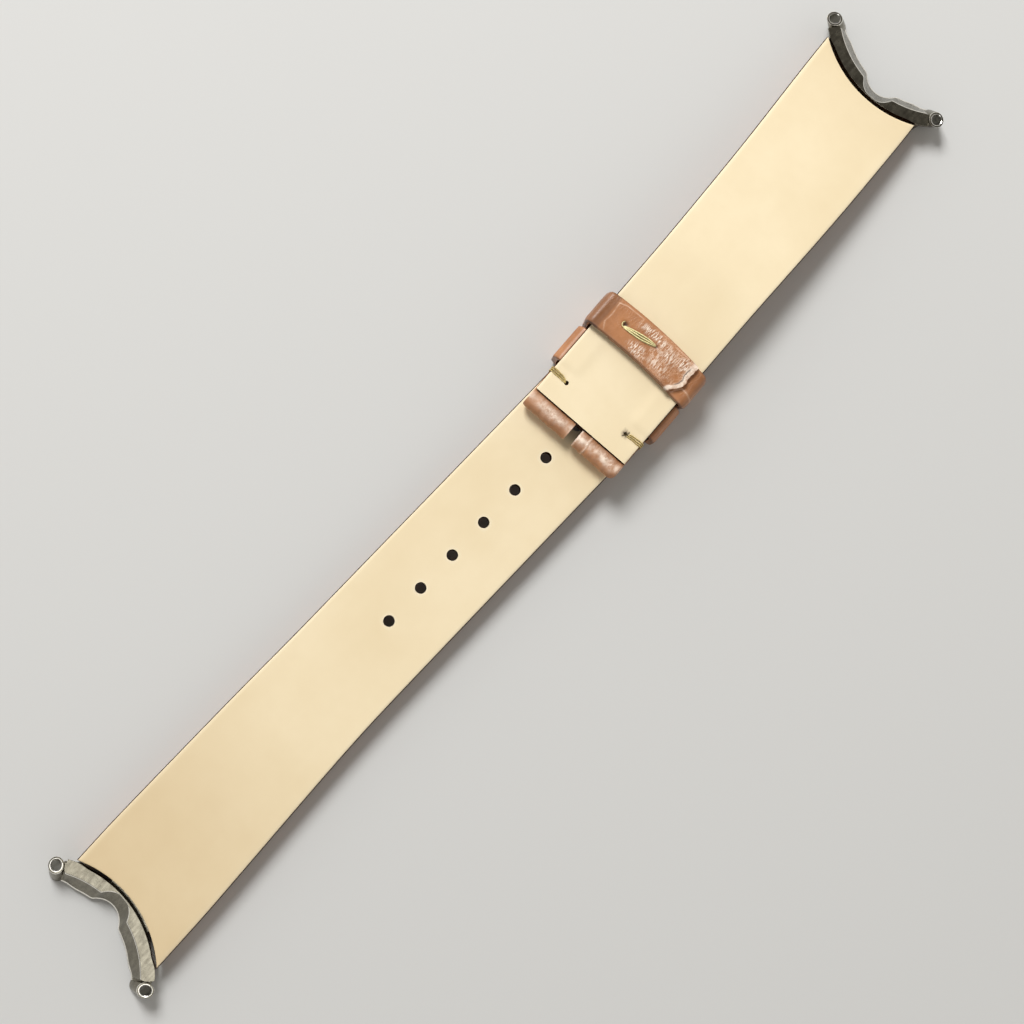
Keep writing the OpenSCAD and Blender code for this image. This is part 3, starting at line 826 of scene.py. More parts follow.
@dataclass(frozen=True)
class GoldThread:
    """Waxed golden thread, with painted shade in the hollows between its plies, which run along a strand's
    sides as it hardly twists.
    """

    name: str
    base: tuple
    deep: tuple
    patch_scale: float = 2600
    fibre_scale: float = 9000
    roughness: float = 0.45
    shine: float = 0.5

    def material(self) -> bpy.types.Material:
        """Build the material.

        Returns:
            The material.
        """
        t = Tree(self.name)
        # Painted shade: the ply mark darkens the hollows between the plies
        tone = t.mix(t.span(t.mark("ply"), 0.1, 0.75), self.deep, self.base)
        tone = t.mix(t.span(t.noise(self.patch_scale, 2), 0.4, 0.7, 0, 0.35), tone, self.deep)
        return t.finish({
            "Base Color": tone, "Roughness": self.roughness, "Specular IOR Level": self.shine,
            "Normal": t.raised(t.noise(self.fibre_scale, 2), 0.4, 0.02),
        })


@dataclass(frozen=True)
class StudioPaper:
    """Plain pale floor."""

    base: tuple = colour(214, 214, 212)
    roughness: float = 0.9
    shine: float = 0.1

    def material(self) -> bpy.types.Material:
        """Build the material."""
        inputs = {"Base Color": self.base, "Roughness": self.roughness, "Specular IOR Level": self.shine}
        return Tree("studio_paper").finish(inputs)


@dataclass
class Finishes:
    """Every finish of the strap, made once."""

    lining: bpy.types.Material = field(default_factory=LiningLeather().material)
    skin: bpy.types.Material = field(default_factory=CrocodileSkin().material)
    edge: bpy.types.Material = field(
        default_factory=CutLeather("edge_paint", colour(74, 42, 26), colour(44, 24, 15)).material)
    # Painted shade: the tunnel's inner face is near black, so that the tongue slot looks dark
    tunnel: bpy.types.Material = field(
        default_factory=CutLeather("tunnel_painted_shade", colour(48, 34, 25), colour(26, 18, 13)).material)
    flesh: bpy.types.Material = field(
        default_factory=CutLeather("flesh_side", colour(168, 132, 100), colour(120, 88, 62)).material)
    felt: bpy.types.Material = field(
        default_factory=CutLeather("padding_felt", colour(150, 118, 84), colour(112, 84, 58)).material)
    metal: bpy.types.Material = field(
        default_factory=Gunmetal("gunmetal", colour(114, 109, 96), colour(142, 137, 122), 0.24).material)
    polished: bpy.types.Material = field(
        default_factory=Gunmetal("polished_rim", colour(226, 224, 217), colour(240, 238, 232), 0.16).material)
    # A thread's deep colour is the painted shade between its plies, and most of the colour of the frayed ends
    thread: bpy.types.Material = field(
        default_factory=GoldThread("gold_thread", colour(250, 238, 176), colour(98, 80, 38)).material)
    side_thread: bpy.types.Material = field(
        default_factory=GoldThread("side_thread", colour(222, 196, 122), colour(52, 38, 16)).material)


# Strap halves


@dataclass(frozen=True)
class Hole:
    """Round hole through a half, at a place along it and across it."""

    s: float
    y: float
    radius: float
    reach: float = 2.1

    def lines(self) -> tuple[Array, Array]:
        """Places along and across of the square of grid lines that is bent onto the hole."""
        steps = self.radius * np.linspace(-1, 1, HOLE_LINES)
        return self.s + steps, self.y + steps

    def away(self, plan: Array) -> Array:
        """Larger of the distances along and across, from the hole's middle."""
        return np.abs(plan - [self.s, self.y]).max(-1)

    def bend(self, plan: Array) -> Array:
        """Bend squares round the hole into circles, fading out at its reach, which counts radii.

        Args:
            plan: places along and across.

        Returns:
            The bent places.
        """
        offset = plan - [self.s, self.y]
        square = self.away(plan)
        share = np.clip((self.reach * self.radius - square) / ((self.reach - 1) * self.radius), 0, 1)
        size = np.maximum(np.linalg.norm(offset, axis=-1), TINY)
        return plan + (share * (square / size - 1))[..., None] * offset


@dataclass(frozen=True)
class Half:
    """Shape and place of one half of the strap; each soft value rounds a corner of its lines.

    A falloff paints shade on the lining towards an end, where the light falls off: its share, and the places
    along between which it rises.
    """

    narrow: float
    widens: tuple[float, float]
    sway: float
    sway_from: float
    apex: float
    thin: float
    deepens: tuple[float, float]
    turn: float
    flip: int
    shift: float
    tip: float | None = None
    lug_half: float = 10.0
    lug_thick: float = 3.4
    nose_length: float = 11.0
    nose_power: float = 0.58
    nose_limit: float = 0.999
    sway_soft: float = 8.0
    width_soft: float = 4.0
    depth_soft: float = 5.0
    tans: tuple[tuple[float, float, float], ...] = ()

    def middle(self, s: Array) -> Array:
        """Sideways place of the middle line, which sways softly towards the lug end."""
        whole = soft_bend(np.float64(self.apex - self.sway_from), self.sway_soft)
        return self.sway * soft_bend(s - self.sway_from, self.sway_soft) / whole

    def half_width(self, s: Array, inset: float) -> Array:
        """Half width less an inset; the tip's nose is a slightly pointed ellipse.

        Args:
            s: places along.
            inset: distance inside the outline.

        Returns:
            Half of the width at each place.
        """
        wide = soft_ramp(s, *self.widens, self.narrow, self.lug_half, self.width_soft) - inset
        if self.tip is None:
            return wide
        nose = np.clip((-s - self.tip + self.nose_length + inset) / self.nose_length, 0, self.nose_limit)
        return wide * (1 - nose**2) ** self.nose_power

    def front(self, s: Array, y: Array) -> Array:
        """Height of the front's crowned face."""
        return crown(y) - soft_ramp(s, *self.deepens, self.thin, self.lug_thick, self.depth_soft)

    def from_end(self, points: Array) -> Array:
        """Carry points from the metal end piece's frame, which looks outwards, to this half's frame.

        Args:
            points: places in the end piece's frame.

        Returns:
            The same places in this half's frame.
        """
        c, k = np.cos(np.radians(self.turn)), np.sin(np.radians(self.turn))
        x, y, z = points.T
        return np.column_stack([self.apex + c * x + k * y, self.shift + self.flip * (c * y - k * x), z])

    def arc_place(self, y: Array, inset: float) -> Array:
        """Place along of the concave end at a place across: a circle beyond the end."""
        middle = self.from_end(np.array([[ARC_R, 0.0, 0.0]]))[0]
        return middle[0] - np.sqrt((ARC_R + inset) ** 2 - (y - middle[1]) ** 2)

    def nose_place(self, y: Array, inset: float) -> Array:
        """Place along of the nose at a place across."""
        share = np.clip(np.abs(y) / (self.narrow - inset), 0, 1) ** (1 / self.nose_power)
        return -(self.tip - self.nose_length - inset + self.nose_length * np.sqrt(1 - share))

    def place(self, points: Array) -> Array:
        """Carry points from this half's frame to the object's."""
        raise NotImplementedError


@dataclass(frozen=True)
class ShortHalf(Half):
    """Half that carries the buckle end and the keepers; it droops softly to its lug end."""

    droop: float = 4.0
    droops: tuple[float, float] = (32.9, 35.9)
    path: tuple[float, float] = (-10.0, 90.0)
    path_points: int = 2001

    def place(self, points: Array) -> Array:
        """Follow a path that turns down by the droop about its bend.

        Args:
            points: places in this half's frame.

        Returns:
            The same places in the object's frame.
        """
        s, y, z = points.T
        marks = np.linspace(*self.path, self.path_points)
        turn = np.radians(self.droop) * soft_step(marks, *self.droops)
        steps = np.diff(marks)
        along = np.concatenate([[0], np.cumsum(np.cos((turn[1:] + turn[:-1]) / 2) * steps)]) + marks[0]
        drop = np.concatenate([[0], np.cumsum(np.sin((turn[1:] + turn[:-1]) / 2) * steps)])
        lean = np.interp(s, marks, turn)
        x = np.interp(s, marks, along) + z * np.sin(lean)
        return np.column_stack([x, y, SHORT_TOP - np.interp(s, marks, drop) + z * np.cos(lean)])


@dataclass(frozen=True)
class LongHalf(Half):
    """Half with the tongue holes, turned a little in plan about the fixed keeper."""

    angle: float = 3.1
    cross: float = 10.75

    def place(self, points: Array) -> Array:
        """Turn about the crossing; s runs against the object's x.

        Args:
            points: places in this half's frame.

        Returns:
            The same places in the object's frame.
        """
        s, y, z = points.T
        c, k = np.cos(np.radians(self.angle)), np.sin(np.radians(self.angle))
        x = -s - self.cross
        return np.column_stack([self.cross + c * x + k * y, c * y - k * x, LONG_TOP + z])


# Each half's falloffs paint shade on its lining towards its ends
SHORT = ShortHalf(
    narrow=BUCKLE_HALF, widens=(32.6, 70.6), sway=0.7, sway_from=53.45, apex=72.6, thin=2.75,
    deepens=(34.4, 72.6), turn=4, flip=1, shift=0.7, tans=((0.4, 62, 76),))
LONG = LongHalf(
    narrow=8.95, widens=(52.9, 90.9), sway=-1.1, sway_from=59.75, apex=96.9, thin=2.3,
    deepens=(22.6, 96.9), turn=10.5, flip=-1, shift=-1.9, tip=23.1,
    tans=((0.12, -20, 10), (0.88, 54, 100)))


@dataclass(frozen=True)
class Level:
    """One line round the rim of a layer: its inset from the outline and its height at a place."""

    inset: float
    height: Callable[[Array, Array], Array]


@dataclass(frozen=True)
class Stretch:
    """Stretch of one half between two places, that meets its neighbour at a seam or ends the half."""

    half: Half
    start: float
    stop: float
    end: EndShape
    holes: tuple[Hole, ...] = ()
    knee: float = 6.5
    end_reach: float = 14.0

    def grid(self, step: float) -> tuple[Array, Array]:
        """Rows along and nominal columns across, which include the squares round the holes.

        Args:
            step: longest distance between two of them.

        Returns:
            Rows, and columns.
        """
        low, high = sorted((self.start, self.stop))
        rows = spaced(low, high, step, [x for h in self.holes for x in h.lines()[0]])
        columns = spaced(-BUCKLE_HALF, BUCKLE_HALF, step, [y for h in self.holes for y in h.lines()[1]])
        return (rows if self.stop > self.start else rows[::-1]), columns[::-1]

    def plan(self, rows: Array, columns: Array, inset: float, end_inset: float | None = None) -> Array:
        """Plan of the stretch: straight rows that bend softly into the shape of its end.

        Columns keep their place near the middle and spread evenly outside the knee. The last rows
        are pulled to the end's curve by the square of how near they are to it.

        Args:
            rows: places along, the end last.
            columns: nominal places across.
            inset: distance inside the half's outline.
            end_inset: distance inside the end's curve, where it isn't the same.

        Returns:
            Places along and across, shaped (rows, columns, 2).
        """
        end_inset = inset if end_inset is None else end_inset
        wide = self.half.half_width(rows, inset)[:, None]
        outside = np.maximum(np.abs(columns) - self.knee, 0) / (BUCKLE_HALF - self.knee)
        lateral = np.sign(columns) * (np.minimum(np.abs(columns), self.knee) + outside * (wide - self.knee))
        y = self.half.middle(rows)[:, None] + lateral
        s = rows[:, None] + 0 * y
        if self.end is not EndShape.SEAM:
            near = np.clip(1 - np.abs(rows - rows[-1]) / self.end_reach, 0, 1)[:, None] ** 2
            curve = self.half.arc_place if self.end is EndShape.ARC else self.half.nose_place
            s = s + near * (curve(y, end_inset) - rows[-1])
        return np.stack([s, y], -1)

    def shape(self, step: float) -> tuple[Array, Array, Array]:
        """Make the grid's faces less those in the holes.

        Args:
            step: longest distance between two rows or columns.

        Returns:
            Rows, columns, and faces.
        """
        rows, columns = self.grid(step)
        faces = grid_faces(len(rows), len(columns))
        flat = np.stack(np.meshgrid(rows, columns, indexing="ij"), -1).reshape(-1, 2)
        middles = flat[faces].mean(1)
        kept = np.ones(len(faces), bool)
        for hole in self.holes:
            kept &= hole.away(middles) > hole.radius
        return rows, columns, faces[kept]

    def borders(self, grid: Array) -> list[Array]:
        """Border of a grid: one line round its far end, or one on each side of a seamed stretch.

        Args:
            grid: values of the grid's points, row by row.

        Returns:
            The values along each border.
        """
        if self.end is EndShape.SEAM:
            return [grid[:, 0], grid[::-1, -1]]
        return [np.concatenate([grid[:, 0], grid[-1, 1:-1], grid[::-1, -1]])]

    def tray(self, levels: Sequence[Level], step: float) -> tuple[Array, Array]:
        """Open tray: a flat patch at the last level, and a rim that climbs through the levels before it.

        Args:
            levels: levels of the rim from its top, and of the patch, which is last.
            step: longest side of a face.

        Returns:
            Points, and faces.
        """
        rows, columns, faces = self.shape(step)
        plans = [self.plan(rows, columns, level.inset) for level in levels]
        patch = plans[-1]
        for hole in self.holes:
            patch = hole.bend(patch)
        count = len(rows) * len(columns)
        points = [np.dstack([patch, levels[-1].height(patch[..., 0], patch[..., 1])]).reshape(-1, 3)]
        every = [faces]
        borders = self.borders(np.arange(count).reshape(len(rows), len(columns)))
        for side, border in enumerate(borders):
            lines = [self.borders(plan)[side] for plan in plans[:-1]]
            for line, level in zip(lines, levels):
                points.append(np.column_stack([line, level.height(line[:, 0], line[:, 1])]))
            stack = count + np.arange(len(lines) * len(border)).reshape(len(lines), -1)
            stack = np.vstack([stack, border])
            quads = [stack[:-1, :-1], stack[:-1, 1:], stack[1:, 1:], stack[1:, :-1]]
            every.append(np.stack(quads, -1).reshape(-1, 4))
            count += len(lines) * len(border)
        return np.concatenate(points), np.concatenate(every)


def rim_levels(half: Half, inset: float, radius: float, lift: float) -> list[Level]:
    """Levels of a skin's turned-up edge: a wall, a rounded corner and the crowned face.

    Args:
        half: the half of the strap.
        inset: distance of the wall inside the outline.
        radius: radius of the corner between the wall and the face.
        lift: height of the face above the front's outside.

    Returns:
        The levels from the seat down.
    """

    def wall(share: float) -> Callable[[Array, Array], Array]:
        """Height of a share of the way from the seat down to the corner."""
        return lambda s, y: SEAT_Z + share * (half.front(s, y) + lift + radius - SEAT_Z)

    def corner(angle: float) -> Callable[[Array, Array], Array]:
        """Height on the corner at an angle from the wall."""
        return lambda s, y: half.front(s, y) + lift + radius * (1 - np.sin(angle))

    made = [Level(inset, wall(share)) for share in WALL_SHARES]
    for angle in np.radians(CORNER_ANGLES):
        made.append(Level(inset + radius * (1 - np.cos(angle)), corner(angle)))
    return [*made, Level(inset + radius, corner(np.pi / 2))]


@dataclass(frozen=True)
class Layers:
    """The three layers of one stretch: crocodile skin, padding and lining.

    Heights are in the half's own frame. A rim is the lining's edge as pairs: inset, and drop below its
    face. The keeper's ends raise the lining between two places along and from one place to another
    across, and the side stitches dent it. A hole's painted highlight, a pale ring, has its strength, its gap
    and its width.
    """

    name: str
    stretch: Stretch
    bodies: tuple[str, str]
    bend: tuple[float, float]
    nodes: tuple[str, ...]
    lining_start: float | None = None
    lining_holes: tuple[Hole, ...] = ()
    stitch_x: float = 5.35
    skin_step: float = 0.27
    outer_corner: float = 0.6
    inner_corner: float = 0.04
    scale_depth: float = 0.2
    seat_fade: tuple[float, float] = (0.02, 0.3)
    seat_shade: float = 0.85
    padding_step: float = 0.6
    padding_inset: float = 0.86
    tang_room: float = 5.6
    padding_top: float = -0.88
    padding_gap: float = 0.03
    padding_least: float = 0.05
    lining_step: float = 0.5
    top_rim: tuple[tuple[float, float], ...] = ((0.15, 0.2), (0.16, 0.11), (0.2, 0.04), (0.28, 0.0))
    low_rim: tuple[float, ...] = (0.15, 0.18, 0.22, 0.28)
    keeper_rise: float = 0.14
    keeper_along: tuple[float, float, float, float] = (6.9, 7.8, 13.4, 14.5)
    keeper_across: tuple[float, float] = (4.4, 6.4)
    dent_width: float = 0.5
    pull_x: float = 6.8
    pull_across: tuple[float, float] = (5.0, 8.6)
    pull_depth: float = 0.1
    stitch_across: tuple[float, float] = (6.0, 6.6)
    stitch_depth: float = 0.12
    rim_place: float = 0.15
    rim_width: float = 0.3
    hole_rim: tuple[float, float, float] = (2.2, 0.1, 0.2)
    fray_shade: float = 0.8
    fray_width: float = 0.2
    fray_waves: tuple[tuple[float, float], ...] = ((0.12, 5), (0.05, 11))

    def outer_skin(self) -> Shell:
        """Skin with scales cut into it, turned up round the padding.

        Returns:
            The skin.
        """
        stretch, half = self.stretch, self.stretch.half
        outer, faces = stretch.tray(rim_levels(half, 0, self.outer_corner, 0), self.skin_step)
        inner, _ = stretch.tray(rim_levels(half, SKIN_T, self.inner_corner, SKIN_T), self.skin_step)
        normals = point_normals(outer, faces)
        down = np.sign(-normals[:, 2].sum())
        height = outer[:, 2] - half.front(outer[:, 0], outer[:, 1])
        across = outer[:, 1] - half.middle(outer[:, 0])
        depth, crease, tone = Scales().relief(outer[:, 0], across + np.sign(across) * height)
        seat = soft_step(SEAT_Z - outer[:, 2], *self.seat_fade)
        outer = outer - down * normals * (self.scale_depth * depth * seat)[:, None]
        marks = {"crease": crease * seat, "tone": tone, "shade": self.seat_shade * (1 - seat)}
        return thicken(outer, inner, faces, marks).placed(half.place)

    def padding(self) -> Shell:
        """Padding that fills the skin's pocket and stops short of the metal's tang.

        Returns:
            The padding.
        """
        stretch, half = self.stretch, self.stretch.half
        rows, columns, faces = stretch.shape(self.padding_step)
        end_inset = self.tang_room if stretch.end is EndShape.ARC else self.padding_inset
        plan = stretch.plan(rows, columns, self.padding_inset, end_inset)
        for hole in stretch.holes:
            plan = hole.bend(plan)
        plan = plan.reshape(-1, 2)
        top = np.column_stack([plan, np.full(len(plan), self.padding_top)])
        pocket = half.front(plan[:, 0], plan[:, 1]) + SKIN_T + self.padding_gap
        low = np.minimum(pocket, self.padding_top - self.padding_least)
        return thicken(np.column_stack([plan, low]), top, faces).placed(half.place)

    def hump(self, s: Array, y: Array) -> Array:
        """Rise of the lining over the fixed keeper's tucked ends, and the dent of the side stitches.

        Args:
            s: places along.
            y: places across.

        Returns:
            Rise above the lining's plain face.
        """
        side = np.abs(y)
        up, level, leaves, down = self.keeper_along
        rise = soft_step(s, up, level) * (1 - soft_step(s, leaves, down))
        rise = rise * soft_step(side, *self.keeper_across)
        pull = bump(s, self.pull_x, self.dent_width) * soft_step(side, *self.pull_across)
        stitch = bump(s, self.stitch_x, self.dent_width) * soft_step(side, *self.stitch_across)
        return self.keeper_rise * rise - self.pull_depth * pull - self.stitch_depth * stitch

    def lining(self) -> Shell:
        """Smooth lining with a softly rounded edge, raised over the keeper's ends.

        Returns:
            The lining.
        """
        base = self.stretch
        start = base.start if self.lining_start is None else self.lining_start
        stretch = Stretch(base.half, start, base.stop, base.end, base.holes + self.lining_holes, base.knee)

        def face(drop: float) -> Callable[[Array, Array], Array]:
            """Height of the lining's face less a drop."""
            return lambda s, y: (self.hump(s, y) if base.half is SHORT else 0 * s) - drop

        def under(s: Array, y: Array) -> Array:
            """Height of the lining's underside."""
            return 0 * s - LINING_T

        top_levels = [Level(inset, face(drop)) for inset, drop in self.top_rim]
        top, faces = stretch.tray(top_levels, self.lining_step)
        bottom, _ = stretch.tray([Level(inset, under) for inset in self.low_rim], self.lining_step)
        wide = base.half.half_width(top[:, 0], 0) - np.abs(top[:, 1] - base.half.middle(top[:, 0]))
        along = top[:, 0]
        # Painted shade towards the half's ends, where the light falls off, goes into the tan mark
        painted_falloff = sum(share * soft_step(along, low, high) for share, low, high in base.half.tans)
        # Painted highlight along the lining's edge and round each hole goes into the rim mark
        rim = bump(wide, self.rim_place, self.rim_width)
        for hole in base.holes:
            away = np.hypot(along - hole.s, top[:, 1] - hole.y)
            strength, gap, width = self.hole_rim
            rim = np.maximum(rim, strength * bump(away, hole.radius + gap, width))
        marks = {"rim": rim, "tan": painted_falloff, "shade": self.frayed(top)}
        return thicken(top, bottom, faces, marks).placed(base.half.place)

    def frayed(self, top: Array) -> Array:
        """Dark ragged rim of the right stitch hole: a bell about it, broken up by waves.

        Args:
            top: points of the lining's face.

        Returns:
            Shade of each point.
        """
        if not self.lining_holes:
            return 0 * top[:, 0]
        hole = self.lining_holes[-1]
        away = np.hypot(top[:, 0] - hole.s, top[:, 1] - hole.y)
        turn = np.arctan2(top[:, 1] - hole.y, top[:, 0] - hole.s)
        waves = sum(height * np.sin(count * turn) for height, count in self.fray_waves)
        return self.fray_shade * bump(away, hole.radius, self.fray_width + waves)

    def build(self, finishes: Finishes) -> None:
        """Make the three layers and hide the nodes that they stand for.

        Args:
            finishes: materials of the strap.
        """
        start, end = self.stretch.half.place(np.array([[s, 0.0, 0.0] for s in self.bend])) * METRE
        layers = {
            "skin": (self.outer_skin, (finishes.skin, finishes.flesh, finishes.edge)),
            "padding": (self.padding, (finishes.felt, finishes.felt, finishes.edge)),
            "lining": (self.lining, (finishes.lining, finishes.lining, finishes.edge)),
        }
        for layer, (shape, materials) in layers.items():
            piece = make_piece(f"{self.name}_{layer}", shape(), materials)
            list(self.bodies)
            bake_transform(piece)
            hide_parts(*[node.format(layer) for node in self.nodes])


# Folded buckle end


@dataclass(frozen=True)
class FoldedEnd:
    """Skin folded round the buckle bar's tunnel, with its tongue slot and the glued layers behind it.

    The sheet comes back along the front, rolls round the tunnel, steps down behind it and ends in a
    flat flap. Its profile has its zero at the tunnel's middle; step points are places along and heights.
    A fold has its height and its turns across and along. A taper pulls a side's end back: where it
    starts, its reach and its share. The crest's painted highlight has its place, its sway and its width.
    """

    slot_half: float = 0.725
    slot_from: float = 3.5
    seam: float = 9.0
    flap: float = 6.4
    flap_from: float = 2.2
    left_round: float = 0.16
    right_round: float = 0.42
    outer_roll: tuple[float, float] = (1.4, 68.0)
    inner_roll: tuple[float, float] = (0.8, 50.0)
    leg_height: float = -0.6
    leg_sink: float = 0.2
    leg_level: float = 2.2
    roll_points: int = 40
    under_step: float = 0.25
    back_step: float = 0.5
    column_step: float = 0.16
    outer_step: tuple[tuple[float, float], ...] = (
        (0.85, 1.22), (1.2, 1.08), (1.5, 0.95), (1.66, 0.8), (1.74, 0.6), (1.95, 0.48))
    filler_from: float = 1.0
    filler_slot: float = 1.72
    filler_gap: float = 0.02
    filler_steps: tuple[float, float] = (0.4, 0.5)
    filler_top: tuple[tuple[float, float], ...] = ((1.0, 0.24), (1.4, 0.09), (1.95, 0.04))
    filler_back: float = 0.47
    filler_crown: float = 0.9
    inner_step: tuple[tuple[float, float], ...] = (
        (0.72, 0.45), (0.95, 0.3), (1.15, 0.2), (1.4, 0.12), (1.6, 0.07), (1.95, 0.05))
    side_angles: tuple[float, ...] = (0, 25, 50, 72, 90)
    crown_along: tuple[float, float] = (2.0, 7.5)
    scale_depth: float = 0.16
    front_from: tuple[float, float] = (1.0, 1.38)
    ridge_y: float = -2.67
    ridge_width: float = 0.13
    ridge_height: float = 0.08
    ridge_lean: float = 0.08
    ridge_wave: tuple[float, float] = (0.06, 3.0)
    dent_y: float = -2.95
    dent_width: float = 0.2
    dent_depth: float = 0.06
    lip_gap: float = 0.06
    lip_width: float = 0.15
    lip_depth: float = 0.05
    folds: tuple[tuple[float, float, float], ...] = ((0.03, 1.7, 2.0), (0.02, 4.3, -1.0))
    right_taper: tuple[float, float, float] = (8.2, 0.9, 0.34)
    left_taper: tuple[float, float, float] = (8.5, 0.6, 0.12)
    patchiness: tuple[float, float, float] = (0.68, 0.2, 0.12)
    crest: tuple[float, float, float] = (0.3, 0.1, 0.8)
    tone_share: float = 0.5
    pale_ridge: float = 0.95
    pale_lips: float = 0.9
    worn_crest: float = 1.15
    worn_ridge: float = 0.6
    worn_lips: float = 0.95
    roll_shade: float = 0.24
    roll_shade_along: tuple[float, float] = (0.5, 1.4)

    def lifted(self, along: Array) -> Array:
        """Height of the front leg's inner face, which sinks towards the roll."""
        return self.leg_height - self.leg_sink * soft_step(-along, -self.leg_level, 0.0)

    def profile(self) -> tuple[Array, Array, Array]:
        """Outer and inner line of the folded sheet, seen from the side, and which part each step is.

        Returns:
            Outer points, inner points, and True where the tongue slot may be cut.
        """
        under = spaced(0, self.seam, self.under_step, [self.slot_from])[::-1]
        back = spaced(self.flap_from, self.flap, self.back_step)
        lines = []
        for (radius, stop), front, step in (
            (self.outer_roll, 0 * under + FRONT_Z, self.outer_step),
            (self.inner_roll, self.lifted(under), self.inner_step),
        ):
            angles = np.radians(np.linspace(270, stop, self.roll_points))
            roll = radius * np.column_stack([np.cos(angles), np.sin(angles)])[1:]
            flap = np.column_stack([back, 0 * back + step[-1][1]])
            lines.append(np.concatenate([np.column_stack([under, front]), roll, np.array(step), flap]))
        line, inside = lines
        number = np.arange(len(line))
        cut = (number >= np.argmax(line[:, 0] <= self.slot_from)) & (number < len(line) - len(back) - 2)
        return line, inside, cut

    def sheet(self) -> Shell:
        """The folded sheet: its profile carried across, its sides rounded, with the slot left out.

        Scales show on the front only. The roll is smooth, with a painted highlight on its crest and painted
        shade towards its outer edge, and a raised line beside the slot that is paled, partly as a painted
        highlight.

        Returns:
            The sheet.
        """
        line, inside, cut = self.profile()
        columns = spaced(-BUCKLE_HALF, BUCKLE_HALF, self.column_step, [-self.slot_half, self.slot_half])
        turns = 1 - np.sin(np.radians(self.side_angles))
        left, right = BUCKLE_HALF - self.left_round * turns, self.right_round * turns - BUCKLE_HALF
        columns = columns[(columns < left[0] - 0.05) & (columns > right[0] + 0.05)]
        columns = np.concatenate([right[::-1], columns, left])
        faces = grid_faces(len(line), len(columns))
        middle = (columns[:-1] + columns[1:]) / 2
        slot = (cut[:-1] & cut[1:])[:, None] & (np.abs(middle) < self.slot_half)[None]
        faces = faces[~slot.ravel()]
        normals, length = line_normals(line)
        length = length[:, None] + 0 * columns[None]
        along, across = line[:, :1] + 0 * columns[None], columns[None] + 0 * line[:, :1]
        back = line[:, 1:] > 0
        depth, crease, tone = Scales().relief(self.seam - length, across)
        front = soft_step(-line[:, 1:], *self.front_from)
        roll = 1 - front
        lean, wave = self.ridge_lean * along, self.ridge_wave[0] * np.sin(self.ridge_wave[1] * along)
        # The raised line beside the slot is paled, partly as a painted highlight
        ridge = bump(across, self.ridge_y + lean + wave, self.ridge_width) * roll
        dent = bump(across, self.dent_y + lean, self.dent_width) * roll
        lips = bump(np.abs(across), self.slot_half + self.lip_gap, self.lip_width) * roll
        folds = sum(height * np.sin(across * a + b * along) for height, a, b in self.folds)
        corner = np.where(across > 0, self.left_round, self.right_round)
        inset = np.maximum(np.abs(across) - BUCKLE_HALF + corner, 0)
        edge = corner - np.sqrt(np.maximum(corner**2 - inset**2, 0))
        carved = self.dent_depth * dent - self.ridge_height * ridge + self.lip_depth * lips + folds * roll
        sink = self.scale_depth * depth * front + carved + edge
        outward = normals * np.sign((normals * (line - inside)).sum(1))[:, None]
        rise = (crown(across) * soft_step(line[:, :1], *self.crown_along)) * (line[:, 1:] < -1)
        hidden = soft_step(np.arange(len(line)), len(line) - 12, len(line) - 9)[:, None]
        sink = sink * (1 - hidden)
        outer = np.dstack([along, across, 0 * along + line[:, 1:]])
        outer[..., 0] -= outward[:, :1] * sink
        outer[..., 2] -= outward[:, 1:] * sink
        outer[..., 2] += rise
        inner = np.dstack([inside[:, :1] + 0 * across, across, inside[:, 1:] + rise * self.filler_crown])
        nearer = 1 + 0 * across
        for sign, (start, reach, share) in ((-1, self.right_taper), (1, self.left_taper)):
            nearer = nearer - share * np.clip((sign * across - start) / reach, 0, 1) ** 2
        for face in (outer, inner):
            face[..., 0] = np.where(face[..., 0] < 0, face[..., 0] * nearer, face[..., 0])
        # Painted highlight on the roll's crest, broken into patches, and painted shade towards the roll's
        # outer edge
        even, slow, quick = self.patchiness
        patchy = even + slow * np.sin(across * 1.1 + 2.2) + quick * np.sin(across * 2.9 + along)
        place, sway, width = self.crest
        crest = bump(along, place + sway * np.sin(across), width) * back * patchy
        right_lip = lips * soft_step(-across, -0.2, 0.2)
        marks = {
            "crease": np.maximum(np.maximum(crease * front, self.pale_ridge * ridge), self.pale_lips * lips),
            "tone": PLAIN_TONE + self.tone_share * (tone - PLAIN_TONE) * front,
            "wear": self.worn_crest * crest + self.worn_ridge * ridge + self.worn_lips * right_lip,
            "shade": self.roll_shade * soft_step(-along, *self.roll_shade_along) * roll,
        }
        flat = {name: values.ravel() for name, values in marks.items()}
        return thicken(outer.reshape(-1, 3), inner.reshape(-1, 3), faces, flat)

    def filler(self) -> Shell:
        """Glued layers between the sheet's two legs, level with the strap's sides.

        Returns:
            The layers as one closed shell.
        """
        flap, side = [self.flap, self.flap + self.filler_gap], BUCKLE_HALF - self.filler_gap
        x = spaced(self.filler_from, self.seam, self.filler_steps[0], [self.filler_slot, *flap])
        columns = spaced(-side, side, self.filler_steps[1], [-self.slot_half, self.slot_half])
        faces = grid_faces(len(x), len(columns))
        middles = [(places[:-1] + places[1:]) / 2 for places in (x, columns)]
        slot = (middles[0] < self.filler_slot)[:, None] & (np.abs(middles[1]) < self.slot_half)[None]
        faces = faces[~slot.ravel()]
        along, across = np.meshgrid(x, columns, indexing="ij")
        front, height = np.array(self.filler_top).T
        top = np.interp(along, [*front, *flap], [*height, height[-1], self.filler_back])
        rise = self.filler_crown * crown(across) * soft_step(along, *self.crown_along)
        low = self.lifted(along) + rise + 0.01
        points = [np.dstack([along, across, z]).reshape(-1, 3) for z in (top, low)]
        return thicken(*points, faces)

